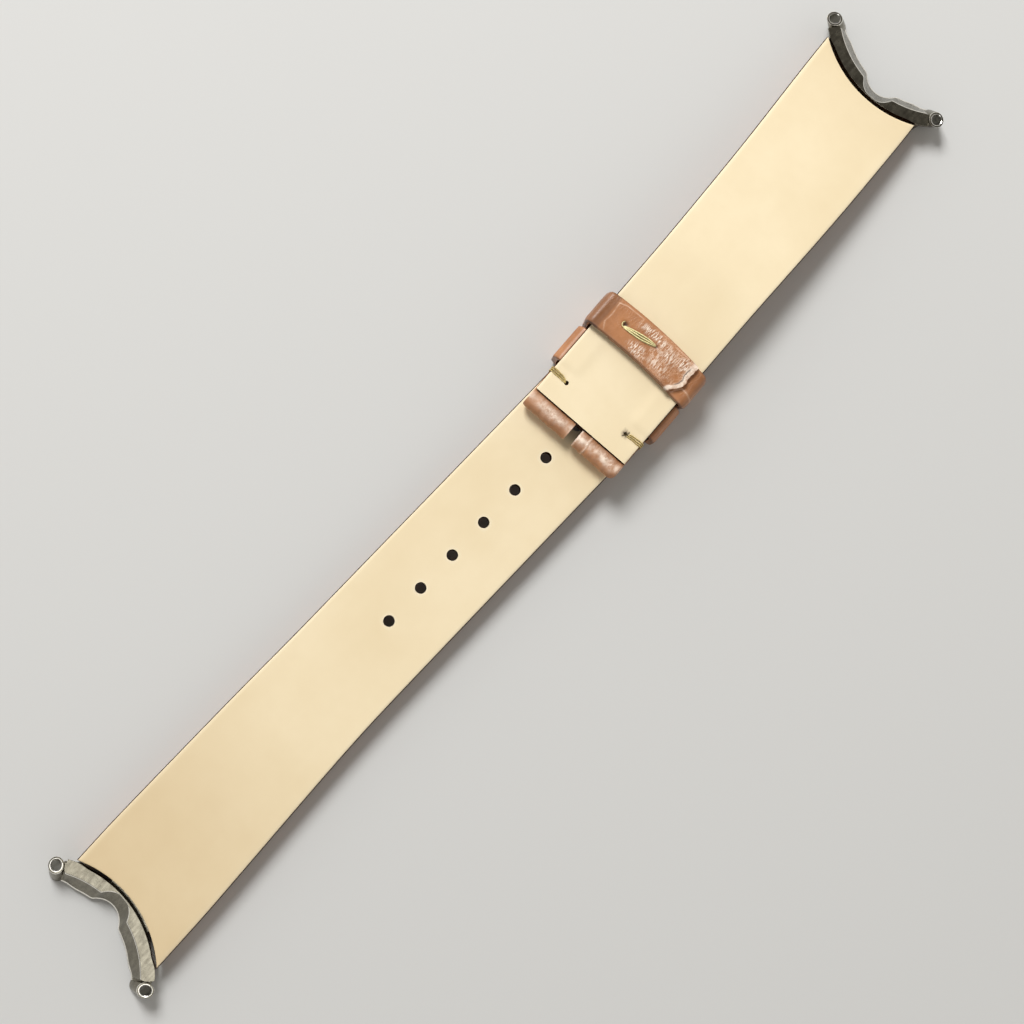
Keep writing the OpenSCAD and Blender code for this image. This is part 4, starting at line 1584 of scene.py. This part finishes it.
    def build(self, finishes: Finishes) -> None:
        """Make the folded end.

        Args:
            finishes: materials of the strap.
        """
        filler = self.filler()
        filler.zones = np.full(len(filler.faces), Zone.EDGE.value)
        whole = joined([self.sheet(), filler])
        # The sheet's inner face round the tunnel takes the near-black painted shade
        materials = (finishes.skin, finishes.tunnel, finishes.edge)
        make_rigid("folded_end", whole, materials, "short_buckle", "short_skin_buckle")


# Keepers


@dataclass(frozen=True)
class Keeper:
    """Strip of crocodile leather wound round the strap, its long edges well rounded.

    The scales fade out between the two smooth heights. The painted shade of an edge, where its rounded side
    turns away from the light, is its strength and the shares of the width between which it rises.
    """

    name: str
    body: str
    start: float
    width: float
    corners: tuple[tuple[float, float], ...]
    seed: float
    edge_share: float
    edge_power: float
    node: str
    corner_reach: float = 0.42
    path_step: float = 0.13
    section_points: int = 57
    scale_row: float = 5.2
    scale_column: float = 6.3
    scale_depth: float = 0.09
    scales_from: float = 15.0
    smooth: tuple[float, float] = (-1.4, 0.6)
    crease_share: float = 0.7
    far_shade: tuple[float, float, float] = (0.3, 0.9, 1.0)
    near_shade: tuple[float, float, float] = (0.6, 0.88, 0.99)

    def thickness(self, length: Array) -> Array:
        """Thickness along the strip."""
        raise NotImplementedError

    def reshape(self, outer: Array, inner: Array, left: Array, marks: dict[str, Array]) -> None:
        """Change the faces where this keeper needs it; left is the length from a row to the strip's end."""

    def build(self, finishes: Finishes) -> None:
        """Carry the strip's rounded section along its path and make the piece.

        Args:
            finishes: materials of the strap.
        """
        line = rounded_line(self.corners, self.corner_reach, self.path_step)
        normals, length = line_normals(line)
        centre = np.array([0.0, (line[:, 1].max() + line[:, 1].min()) / 2])
        outward = normals * np.sign((normals * (line - centre)).sum())
        share = np.sin(np.linspace(-np.pi / 2, np.pi / 2, self.section_points))
        full = np.sqrt(np.maximum(1 - np.abs(share) ** self.edge_power, 0))
        swell = self.edge_share + (1 - self.edge_share) * full
        x = self.start + self.width * (share + 1) / 2
        scales = Scales(row=self.scale_row, column=self.scale_column, seed=self.seed)
        depth, crease, tone = scales.relief(
            length[:, None] + 0 * x[None], x[None] - self.scales_from + 0 * length[:, None])
        front = 1 - soft_step(line[:, 1:], *self.smooth)
        thick = self.thickness(length)[:, None] * swell[None] - self.scale_depth * depth * front
        outer = np.stack([
            x[None] + 0 * thick,
            line[:, :1] + outward[:, :1] * thick,
            line[:, 1:] + outward[:, 1:] * thick,
        ], -1)
        # Painted shade on the rounded long edges, darker on the edge towards the folded end
        edge = self.far_shade[0] * soft_step(share, *self.far_shade[1:])
        edge = edge + self.near_shade[0] * soft_step(-share, *self.near_shade[1:])
        marks = {
            "crease": crease * self.crease_share * front,
            "tone": PLAIN_TONE + (tone - PLAIN_TONE) * front,
            "shade": edge[None] + 0 * thick,
            **{name: 0 * tone for name in ("wear", "wrinkle", "mesh")},
        }
        inner = np.stack([x[None] + 0 * thick, line[:, :1] + 0 * thick, line[:, 1:] + 0 * thick], -1)
        self.reshape(outer, inner, (length[-1] - length)[:, None] + 0 * thick, marks)
        flat = {name: values.ravel() for name, values in marks.items()}
        shell = thicken(outer.reshape(-1, 3), inner.reshape(-1, 3), grid_faces(len(line), len(x)), flat)
        materials = (finishes.skin, finishes.flesh, finishes.skin)
        make_rigid(self.name, shell, materials, self.body, self.node)


@dataclass(frozen=True)
class FixedKeeper(Keeper):
    """Keeper whose two ends are tucked under the lining; it has scales only round the front."""

    smooth: tuple[float, float] = (-3.4, -1.8)
    pared: float = 0.5
    tucked: tuple[float, float] = (3.0, 4.2)

    def thickness(self, length: Array) -> Array:
        """Half as thick at the tucked ends as round the front."""
        near = np.minimum(length, length[-1] - length)
        return self.pared + (1 - self.pared) * soft_step(near, *self.tucked)


@dataclass(frozen=True)
class FreeKeeper(Keeper):
    """Keeper closed by two laps on the back, which are sewn together.

    Lines, patches and stitch places of the back are places along, from the keeper's middle, and across.
    A patch of wrinkles with painted white glints adds its half sizes and its strength. The bow's numbers go
    with 1, y and y squared. The ragged end's waves have a height and a turn, and the beyond shades, painted
    shade partly mixed with a darker tone, lie past the two sides.
    """

    lap_end: tuple[tuple[float, float], ...] = (
        (-3.1, -6.5), (-2.6, -6.7), (-1.4, -7.75), (-0.4, -8.15), (0.7, -7.85), (2.0, -8.0), (3.1, -8.0))
    pale_lines: tuple[tuple[tuple[float, float], ...], ...] = (
        ((2.2, 7.85), (0.1, 7.6), (-1.5, 7.8), (-2.6, 7.15)),
        ((2.15, 7.85), (2.62, 6.5), (2.72, 3.36), (1.45, 3.37)),
        ((2.62, -3.2), (2.62, -5.6)),
        ((1.4, 3.4), (1.1, 3.1)),
    )
    side_line: tuple[tuple[float, float], ...] = (
        (-2.9, -7.15), (-2.2, -7.5), (-1.5, -8.05), (-1.55, -9.0), (-2.0, -10.3))
    patches: tuple[tuple[float, float, float, float, float], ...] = (
        (1.9, 0.3, 0.75, 2.9, 1.0), (-1.7, 1.2, 0.95, 1.7, 0.95), (1.35, -6.0, 1.1, 1.05, 1.0),
        (-0.2, -2.6, 1.7, 2.2, 0.55), (-1.7, -3.2, 0.8, 2.6, 0.4), (1.2, -3.4, 1.2, 2.0, 0.4))
    stitch_hole: tuple[float, float] = (0.2, 5.0)
    stitch_foot: tuple[float, float] = (0.68, -0.85)
    stitch_bed: tuple[tuple[float, float], ...] = ((-0.1, 4.8), (0.2, 2.0), (0.6, -0.6))
    bow: tuple[float, float, float] = (0.12, 0.026, -0.0052)
    bulge: float = 0.16
    half_back: float = 9.4
    pared: float = 0.57
    first_lap: tuple[float, float] = (14.6, 16.0)
    last_lap: tuple[float, float] = (16.6, 18.4)
    seen_lap: tuple[float, float] = (17.5, 18.4)
    end_waves: tuple[tuple[float, float], ...] = ((0.04, 7.0), (0.02, 17.0))
    end_reach: float = 2.7
    back_from: tuple[float, float] = (1.0, 1.6)
    bow_from: tuple[float, float] = (-3.0, 1.5)
    ridge_place: float = 0.5
    ridge_width: tuple[float, float] = (0.56, 0.06)
    ridge_height: float = 0.07
    groove_place: float = 0.86
    groove_width: float = 0.09
    groove_span: tuple[float, float, float, float] = (-2.3, -1.6, 1.3, 1.9)
    groove_depth: float = 0.05
    hole_size: float = 0.42
    hole_depth: float = 0.34
    foot_size: float = 0.26
    foot_depth: float = 0.2
    bed_width: float = 0.45
    bed_depth: float = 0.1
    wrinkle_height: float = 0.012
    pale_strength: float = 0.8
    pale_width: float = 0.07
    side_width: float = 0.12
    worn_ridge: float = 1.15
    worn_lines: float = 0.25
    hole_shade: float = 0.95
    foot_shade: float = 0.8
    bed_shade: float = 0.18
    beyond_shade: float = 0.42
    darkest: float = 0.95

    def thickness(self, length: Array) -> Array:
        """Pared to a little over half on the two laps.

        Args:
            length: places along the strip.

        Returns:
            Thickness at each place.
        """
        first = soft_step(length, *self.first_lap)
        last = soft_step(length[-1] - length, *self.last_lap)
        return self.pared + (1 - self.pared) * first * last

    def reshape(self, outer: Array, inner: Array, left: Array, marks: dict[str, Array]) -> None:
        """Bow and bulge the back, dent it under the stitch, rub the outer lap's ragged end pale, and paint
        shade in its hollows and glints on its wrinkles.

        Args:
            outer: points of the outer face.
            inner: points of the inner face.
            left: length from each point to the strip's end.
            marks: named values of the outer points, changed in place.
        """
        middle = self.start + self.width / 2
        outer_lap = 1 - soft_step(left, *self.seen_lap)
        end_x, end_y = np.array(self.lap_end).T
        ragged = np.interp(outer[..., 0] - middle, end_x, end_y) - end_y[-1]
        ragged += sum(height * np.sin(outer[..., 0] * turn) for height, turn in self.end_waves)
        for face in (outer, inner):
            y, back = face[..., 1].copy(), soft_step(inner[..., 2], *self.back_from)
            face[..., 1] = y + ragged * (1 - soft_step(left, 0, self.end_reach))
            face[..., 2] += self.bulge * back * np.clip(1 - (y / self.half_back) ** 2, 0, 1)
            bow = self.bow[0] + self.bow[1] * y + self.bow[2] * y**2
            face[..., 0] += bow * soft_step(face[..., 2], *self.bow_from)
        u, y = outer[..., 0] - middle, outer[..., 1]
        from_end = y - (end_y[-1] + ragged)
        wide = self.ridge_width[0] + self.ridge_width[1] * u
        ridge = outer_lap * np.exp(-(((from_end - self.ridge_place) / wide) ** 4))
        ridge = ridge * (0.9 + 0.1 * np.sin(u * 9))
        rises, level, falls, ends = self.groove_span
        groove = outer_lap * bump(from_end, self.groove_place, self.groove_width)
        groove = groove * soft_step(u, rises, level) * (1 - soft_step(u, falls, ends))
        hole, foot = [
            outer_lap * bump(np.hypot(u - place[0], y - place[1]), 0, size)
            for place, size in ((self.stitch_hole, self.hole_size), (self.stitch_foot, self.foot_size))
        ]
        under = outer_lap * traced(u, y, self.stitch_bed, self.bed_width)
        # Patches of fine wrinkles that carry painted white glints
        patches = sum(share * blob(u, y, (a, b), (c, d)) for a, b, c, d, share in self.patches)
        fine = np.sin(u * 6.1 + 1.3 * np.sin(y * 2)) + np.sin(y * 11 + 2 * np.sin(u * 1.5))
        raised = self.ridge_height * ridge - self.groove_depth * groove + self.wrinkle_height * fine * patches
        sunk = self.hole_depth * hole + self.foot_depth * foot + self.bed_depth * under
        outer[..., 2] += outer_lap * raised - sunk
        pale = self.pale_strength * sum(traced(u, y, line, self.pale_width) for line in self.pale_lines)
        side = (1 - outer_lap) * (outer[..., 2] > 0.5) * traced(u, y, self.side_line, self.side_width)
        marks["crease"] = np.maximum(marks["crease"], np.clip(outer_lap * pale + side, 0, 1))
        marks["wear"] = np.clip(self.worn_ridge * ridge + self.worn_lines * outer_lap * pale, 0, 1)
        # The wrinkle mark raises fine wrinkles and paints white glints on them
        marks["wrinkle"] = outer_lap * np.clip(patches, 0, 1) * (1 - 0.9 * np.clip(under, 0, 1))
        marks["mesh"] = outer_lap * soft_step(-y, -2.5, 0.5) * (1 - 0.8 * np.clip(under, 0, 1))
        beyond = (soft_step(y, 7.75, 8.3) + 0.6 * soft_step(-y, 8.4, 9.2)) * soft_step(outer[..., 2], -1, 1)
        # Painted shade in the stitch hole and its dimple, in the groove, under the stitch, and on the sides
        # past the back, where it is partly a darker tone
        shade = self.hole_shade * (groove + hole) + self.foot_shade * foot
        shade = marks["shade"] + shade + self.bed_shade * under + self.beyond_shade * beyond
        marks["shade"] = np.clip(shade, 0, self.darkest)


# Stitches


@dataclass(frozen=True)
class Stitches:
    """Side stitches round the strap's edges, and the free keeper's stitch.

    An entry is the place across of the middle strand's hole and the step to the next strand's.
    """

    side_x: float = 5.6
    hole_x: float = 5.35
    keeper_x: float = 17.8
    left_radius: float = 0.105
    right_radius: float = 0.09
    fray_radius: float = 0.045
    keeper_radius: float = 0.165
    side_turns: float = 0.05
    fray_turns: float = 0.2
    keeper_turns: float = 0.03
    curl_turns: float = 0.12
    left_entry: tuple[float, float] = (6.22, 0.04)
    right_entry: tuple[float, float] = (6.5, 0.1)
    strand_rise: float = 0.02
    strand_spread: tuple[float, float] = (0.08, 0.22)
    sewn_crown: float = 0.72
    fray_count: int = 6
    fray_y: float = -6.1
    fray_z: float = 1.2
    fray_rise: float = 0.26
    fray_from: float = 0.08
    fray_reach: tuple[float, float] = (0.35, 0.12)
    keeper_from: float = 5.05
    keeper_length: float = 5.85
    keeper_top: float = 2.8
    curl_middle: tuple[float, float] = (17.96, 5.0)
    curl_top: float = 2.86
    curl_size: float = 0.5
    curl_depth: float = 0.5
    curl_radius: float = 0.09

    def side(self, name: str, sign: int, finishes: Finishes) -> None:
        """Three strands from a hole in the lining, over the edge and back through the front.

        Args:
            name: name of the piece.
            sign: 1 on the left side, -1 on the right.
            finishes: materials of the strap.
        """
        strands = []
        low = FRONT_Z + float(crown(np.float64(BUCKLE_HALF))) * self.sewn_crown
        entry, step = self.left_entry if sign > 0 else self.right_entry
        near, far = self.strand_spread
        for i in (-1, 0, 1):
            rise = self.strand_rise * i
            start = entry + step * i
            corners = [(start - 0.06, 0.8), (start, 1.36 + rise), (9.0, 1.4 + rise), (9.26, 1.1),
                       (9.24, low - 0.05), (6.05, FRONT_Z - 0.06), (5.95, -0.9)]
            line = rounded_line(corners, 0.2, 0.08)
            spread = near + far * soft_step(np.abs(line[:, 0]), 6.1, 7.0)
            lean = (self.side_x - self.hole_x) * soft_step(line[:, 0], 6.0, 7.6)
            x = self.hole_x + lean + spread * i + 0.03 * np.sin(3 * line[:, 0] + i)
            path = np.column_stack([x, sign * line[:, 0], line[:, 1]])
            radius = self.left_radius if sign > 0 else self.right_radius
            strands.append(strand(path, radius, self.side_turns, (1.0, 0.0, 0.0)))
        if sign < 0:
            strands += self.frays()
        node = name.replace("_thread", "_stitch")
        make_rigid(name, joined(strands), (finishes.side_thread,), "short_buckle", node)

    def frays(self) -> list[Shell]:
        """Short cut ends that stand up out of the right hole, each a thin bent strand.

        Returns:
            The strands.
        """
        made = []
        t = np.linspace(0, 1, 14)
        for number in range(self.fray_count):
            turn = 1.1 * number + 0.4
            away = self.fray_from + (self.fray_reach[0] + self.fray_reach[1] * (number % 3)) * t**1.5
            x = self.hole_x + away * np.cos(turn)
            y = self.fray_y + away * np.sin(turn)
            z = self.fray_z + self.fray_rise * np.sin(np.pi * (0.15 + 0.6 * t))
            path = np.column_stack([x, y, z])
            made.append(strand(path, self.fray_radius, self.fray_turns, (0.2, 0.3, 0.93)))
            made[-1].marks["ply"] *= 0.3
        return made

    def keeper(self, finishes: Finishes) -> None:
        """Strands laid side by side on the lap, gathered at the ends; the first curls round the hole.

        Args:
            finishes: materials of the strap.
        """
        strands = []
        t = np.linspace(0, 1, 90)
        y = self.keeper_from - self.keeper_length * t
        top = self.keeper_top + FreeKeeper.bulge * (1 - (y / FreeKeeper.half_back) ** 2)
        ends = np.exp(-t / 0.03) + np.exp(-(1 - t) / 0.04)
        for i in (-1, 0, 1):
            beside = 0.37 * i * np.sin(np.pi * t) ** 0.7 + 0.02 * np.sin(9 * t + i)
            x = self.keeper_x - 0.28 + 0.95 * t + beside
            z = top - 0.6 * ends + 0.04 * np.cos(i * 2) * np.sin(np.pi * t)
            path = np.column_stack([x, y, z])
            strands.append(strand(path, self.keeper_radius, self.keeper_turns, (1.0, 0.0, 0.0)))
        angle = np.linspace(0.3, 3.9, 60)
        curl = np.column_stack([
            self.curl_middle[0] + self.curl_size * np.cos(angle),
            self.curl_middle[1] + self.curl_size * np.sin(angle),
            self.curl_top - self.curl_depth * np.exp(-(angle - angle[0]) / 0.35)])
        strands.append(strand(curl, self.curl_radius, self.curl_turns, (0.0, 0.0, 1.0)))
        make_rigid(
            "keeper_thread", joined(strands), (finishes.thread,), "free_keeper", "keeper_stitch")

    def build(self, finishes: Finishes) -> None:
        """Make the three stitches.

        Args:
            finishes: materials of the strap.
        """
        self.side("left_side_thread", 1, finishes)
        self.side("right_side_thread", -1, finishes)
        self.keeper(finishes)


# Metal end pieces


@dataclass(frozen=True)
class EndPiece:
    """Curved metal end: flat face, rounded notch, sloping outer face, an eye at each side and a tang.

    Its sizes are distances from the arc's middle, heights below the lining's face and angles in degrees
    round the arc. A notch circle has its distance, its angle and its radius. An outline has a distance
    and a height in each row; polished strips are the faces that start at those rows.
    """

    name: str
    half: Half
    body: str
    node: str
    back_r: float = 17.95
    face_r: float = 16.1
    low_r: float = 13.9
    face_notch: tuple[float, float, float] = (14.8, -4.84, 3.05)
    low_notch: tuple[float, float, float] = (11.9, -5.3, 3.4)
    notch_reach: float = 25.0
    notch_soft: float = 0.25
    notch_level: float = -3.0
    eye_path: float = 17.025
    eye_y: float = 11.5
    eye_lean: float = 24.0
    eye_gap: float = 3.1
    wing_gap: float = 4.7
    wing_drop: float = 0.42
    wing_corner: float = 0.5
    widening: float = 0.32
    under_cut: float = 1.1
    bevel: float = 0.11
    slope_foot: float = 0.62
    top: float = -0.05
    bottom: float = -3.25
    sharp: float = 26.0
    polished_band: tuple[int, ...] = (5, 9, 10, 11)
    polished_eye: tuple[int, ...] = (0, 1, 2, 5, 6, 13, 14, 15)
    eye_outline: tuple[tuple[float, float], ...] = (
        (0.8, 0.14), (0.83, 0.04), (0.9, 0.0), (0.94, 0.0), (1.1, 0.0), (1.14, 0.01), (1.18, 0.06),
        (1.2, 0.16), (1.27, 1.6), (1.36, 3.0), (1.36, 3.12), (1.3, 3.2), (0.86, 3.2), (0.8, 3.12),
        (0.8, 2.2), (0.8, 1.2))
    tang_angle: float = 15.0
    tang_outline: tuple[tuple[float, float], ...] = (
        (17.7, -1.275), (23.6, -1.275), (23.8, -1.4), (23.8, -2.05), (23.6, -2.175), (17.7, -2.175))

    def rings(self, turn: Array, radius: Array, height: Array) -> Array:
        """Points round the arc, from their angles in radians, distances and heights."""
        return np.stack([ARC_R - radius * np.cos(turn), radius * np.sin(turn), height + 0 * turn], -1)

    def notch(self, angle: Array, circle: tuple[float, float, float], rest: float) -> Array:
        """Distance of an edge from the arc's middle: a rest value, or a notch circle where that is larger.

        Args:
            angle: angles round the arc.
            circle: the notch circle.
            rest: distance away from the notch.

        Returns:
            Distance at each angle.
        """
        away, tilt, radius = circle
        turn = np.radians(angle - tilt)
        inside = np.maximum(radius**2 - (away * np.sin(turn)) ** 2, 0)
        near = np.abs(np.degrees(turn)) < self.notch_reach
        edge = np.where(near, away * np.cos(turn) + np.sqrt(inside), 0)
        level = soft_bend(np.float64(self.notch_level), self.notch_soft)
        return rest + soft_bend(edge - rest, self.notch_soft) - level

    def band(self) -> Shell:
        """Section of the band carried round the arc: each ring is its outline at one angle.

        The flat face stops short of the eyes with rounded corners, and the band steps down there.

        Returns:
            The band.
        """
        eye = np.degrees(np.arcsin(self.eye_y / self.eye_path))
        last, wing = eye - self.eye_gap, eye - self.wing_gap
        side = [*np.linspace(wing - 2.2, wing - 0.1, 12), wing, wing + 0.25, wing + 0.35, last]
        angle = np.concatenate([-np.array(side)[::-1], np.linspace(2.4 - wing, wing - 2.4, 241), side])
        size = np.abs(angle)
        face = np.minimum(self.notch(angle, self.face_notch, self.face_r), self.back_r - 0.2)
        low = self.notch(angle, self.low_notch, self.low_r) + 0.5 * soft_step(size, 28, last)
        near = np.clip(self.wing_corner - np.radians(wing - size) * self.eye_path, 0, self.wing_corner)
        inset = self.wing_corner - np.sqrt(self.wing_corner**2 - near**2)
        top = self.top - self.wing_drop * soft_step(size, wing + 0.02, wing + 0.24)
        wide = soft_step(size, 26, 33) * (1 - 1.6 * soft_step(size, wing - 0.1, wing + 0.15))
        back = self.back_r + self.widening * wide
        bevel = np.minimum(self.bevel, 0.25 * (back - face))
        foot = self.bottom + self.slope_foot + 0 * angle
        floor = self.bottom + 0 * angle
        inner, outer = back - 0.4 * inset, face + inset
        under = back - self.under_cut * soft_step(size, 32, 36)
        outline = [
            (back, top - 0.05 - inset), (inner - 0.01, top - 0.02), (inner - 0.04, top),
            (inner - 0.06, top), (outer + 1.4 * bevel, top), (outer + bevel, top),
            (outer - 0.3 * bevel, top - 0.6 * bevel - 0.5 * inset),
            (face - 0.5 * bevel, top - 0.8 * bevel - inset), (face - 0.9 * bevel, top - 1.4 * bevel - inset),
            (low + 0.22, foot + 0.15), (low + 0.18, foot + 0.09), (low + 0.03, foot + 0.02),
            (low, foot - 0.03), (low, foot - 0.2), (low, floor + 0.14), (low + 0.04, floor + 0.04),
            (low + 0.14, floor), (under - 0.14, floor), (under - 0.04, floor + 0.04), (under, floor + 0.14),
        ]
        radius, height = [np.stack(values, 1) for values in zip(*outline)]
        made = loft(self.rings(np.radians(angle)[:, None], radius, height))
        made.zones = np.isin(np.arange(len(made.faces)) % len(outline), self.polished_band).astype(int)
        return made

    def eye(self, side: int) -> Shell:
        """Eye: rings at several heights round an axis that leans towards the arc's middle on its way down.

        Args:
            side: 1 for the eye on the left, -1 for the one on the right.

        Returns:
            The eye.
        """
        angle = np.linspace(0, 2 * np.pi, 65)[:-1][:, None]
        radius, depth = np.array(self.eye_outline).T
        lean = np.radians(self.eye_lean)
        out = self.eye_path - depth * np.tan(lean) + radius / np.cos(lean) * np.cos(angle)
        along = radius * np.sin(angle)
        turn = side * np.arcsin(self.eye_y / self.eye_path)
        rings = np.stack([
            ARC_R - out * np.cos(turn) + along * np.sin(turn), out * np.sin(turn) + along * np.cos(turn),
            self.top - depth + 0 * angle], -1)
        made = loft(rings, caps=False)
        made.zones = np.isin(np.arange(len(made.faces)) % len(radius), self.polished_eye).astype(int)
        return made

    def tang(self) -> Shell:
        """Flat tang that anchors the piece in the leather: a sector of a ring."""
        turn = np.radians(np.linspace(-self.tang_angle, self.tang_angle, 25))[:, None]
        return loft(self.rings(turn, *np.array(self.tang_outline).T))

    def build(self, finishes: Finishes) -> None:
        """Make the band with its eyes and its tang.

        Args:
            finishes: materials of the strap.
        """
        whole = joined([self.band(), self.eye(-1), self.eye(1), self.tang()])
        whole.points = self.half.place(self.half.from_end(whole.points))
        materials = (finishes.metal, finishes.polished)
        make_rigid(self.name, whole, materials, self.body, self.node, self.sharp)


# Studio


@dataclass(frozen=True)
class Studio:
    """Camera above the strap, a plain pale floor and soft light.

    A lamp has its direction, distance, size and power. The surroundings have heights and strengths
    between which they fade, from low to high.
    """

    camera_at: tuple[float, float, float] = (-39.949, 3.184, 250.744)
    camera_turn: tuple[float, float, float, float] = (0.908107, 0.013613, -0.047992, -0.415756)
    lens: float = 57.69
    sensor: float = 36.0
    clip: tuple[float, float] = (0.01, 10.0)
    floor_half: float = 3.0
    floor_gap: float = 0.04
    sky_heights: tuple[float, float] = (0.35, 0.88)
    sky_strengths: tuple[float, float] = (0.95, 0.1)
    sky_colour: tuple = colour(242, 238, 232)
    key: tuple = ((-0.16, 0.7, 0.7), 0.95, 0.36, 8.1)
    panel: tuple = ((-0.16, -0.24, 0.96), 0.7, 0.24, 0.58)

    def camera(self) -> None:
        """Set up the camera."""
        data = bpy.data.cameras.new("camera")
        data.lens = self.lens
        data.sensor_width = self.sensor
        data.clip_start, data.clip_end = self.clip
        made = bpy.data.objects.new("camera", data)
        made.rotation_mode = "QUATERNION"
        made.rotation_quaternion = self.camera_turn
        made.location = Vector(self.camera_at) * METRE
        bpy.context.scene.collection.objects.link(made)
        bpy.context.scene.camera = made

    def lamp(
        self, name: str, direction: tuple[float, float, float], distance: float, size: float, power: float,
        shine_only: bool = False,
    ) -> None:
        """Hang a square soft lamp that faces the strap.

        Args:
            name: name of the lamp.
            direction: towards the lamp, as right, up and out of the camera's picture.
            distance: metres from the strap.
            size: side of the lamp, in metres.
            power: watts.
            shine_only: show in polished surfaces without lighting the rest.
        """
        data = bpy.data.lights.new(name, "AREA")
        data.shape, data.size, data.energy = "SQUARE", size, power
        made = bpy.data.objects.new(name, data)
        aim = (Quaternion(self.camera_turn) @ Vector(direction)).normalized()
        made.location = aim * distance
        made.rotation_mode = "QUATERNION"
        made.rotation_quaternion = aim.to_track_quat("Z", "Y")
        made.visible_diffuse = not shine_only
        bpy.context.scene.collection.objects.link(made)

    def floor(self) -> None:
        """Lay a large plain floor."""
        mesh = bpy.data.meshes.new("floor")
        z = (FLOOR_Z - self.floor_gap) * METRE
        signs = ((-1, -1), (1, -1), (1, 1), (-1, 1))
        corners = [(x * self.floor_half, y * self.floor_half, z) for x, y in signs]
        mesh.from_pydata(corners, [], [(0, 1, 2, 3)])
        mesh.materials.append(StudioPaper().material())
        made = bpy.data.objects.new("floor", mesh)
        bpy.context.scene.collection.objects.link(made)

    def world(self) -> None:
        """Pale surroundings, darker overhead so that polished metal shows depth."""
        made = bpy.data.worlds.new("studio")
        made.use_nodes = True
        tree = made.node_tree
        sky = tree.nodes["Background"]
        place = tree.nodes.new("ShaderNodeTexCoord")
        axes = tree.nodes.new("ShaderNodeSeparateXYZ")
        height = tree.nodes.new("ShaderNodeMapRange")
        names = ("From Min", "From Max", "To Min", "To Max")
        for name, value in zip(names, self.sky_heights + self.sky_strengths):
            height.inputs[name].default_value = value
        sky.inputs["Color"].default_value = self.sky_colour
        tree.links.new(place.outputs["Generated"], axes.inputs["Vector"])
        tree.links.new(axes.outputs["Z"], height.inputs["Value"])
        tree.links.new(height.outputs["Result"], sky.inputs["Strength"])
        bpy.context.scene.world = made

    def build(self) -> None:
        """Set up the whole studio."""
        bpy.context.scene.view_settings.view_transform = "Standard"
        self.camera()
        self.floor()
        self.world()
        self.lamp("key", *self.key)
        self.lamp("panel", *self.panel, shine_only=True)


def long_holes(low: float, high: float) -> tuple[Hole, ...]:
    """Tongue holes of the long half between two places along it."""
    places = [HOLE_PITCH * number + FIRST_HOLE for number in range(HOLE_COUNT)]
    return tuple(Hole(s, float(LONG.middle(np.float64(s))), HOLE_RADIUS) for s in places if low < s < high)


def main() -> None:
    """Build the strap and its studio."""
    logging.basicConfig(level=logging.INFO, format="%(message)s")
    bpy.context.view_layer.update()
    Studio().build()
    finishes = Finishes()
    stitch_holes = (Hole(Stitches.hole_x, 6.0, 0.37), Hole(Stitches.hole_x, -6.0, 0.28))
    tongue_holes = long_holes(-30, SEAM_PLACE)
    layers = [
        Layers("short_near", Stretch(SHORT, 9.0, SEAM_PLACE, EndShape.SEAM),
               bodies=("short_buckle", "short_middle"), bend=(27.4, 41.4),
               nodes=("short_{}_buckle", "short_{}_middle"), lining_start=1.7, lining_holes=stitch_holes),
        Layers("short_far", Stretch(SHORT, SEAM_PLACE, 75.6, EndShape.ARC),
               bodies=("short_middle", "short_lug"), bend=(46.5, 60.5),
               nodes=("short_{}_middle", "short_{}_lug")),
        Layers("long_near", Stretch(LONG, SEAM_PLACE, -21.1, EndShape.NOSE, tongue_holes, knee=2.4),
               bodies=("long_tip", "long_middle"), bend=(16.0, 29.2),
               nodes=("long_{}_tip", "long_{}_middle")),
        Layers("long_far", Stretch(LONG, SEAM_PLACE, 99.7, EndShape.ARC),
               bodies=("long_middle", "long_lug"), bend=(52.7, 66.8),
               nodes=("long_{}_middle", "long_{}_lug")),
    ]
    for layer in layers:
        layer.build(finishes)
    FoldedEnd().build(finishes)
    FixedKeeper(
        name="fixed_keeper_band", body="short_buckle", start=7.5, width=6.5,
        corners=((6.1, -0.04), (9.4, -0.04), (9.4, -4.15), (-9.4, -4.15), (-9.4, -0.04), (-6.1, -0.04)),
        seed=7.0, edge_share=0.72, edge_power=24, node="fixed_keeper",
    ).build(finishes)
    FreeKeeper(
        name="free_keeper_band", body="free_keeper", start=14.7, width=6.2,
        corners=((5.8, 1.57), (-9.4, 1.57), (-9.4, -4.15), (9.4, -4.15), (9.4, 2.18), (-7.9, 2.18)),
        seed=5.0, edge_share=0.34, edge_power=9, node="free_keeper",
    ).build(finishes)
    Stitches().build(finishes)
    EndPiece("short_metal_end", SHORT, "short_lug", "short_end_piece").build(finishes)
    EndPiece("long_metal_end", LONG, "long_lug", "long_end_piece").build(finishes)


if __name__ == "__main__":
    main()
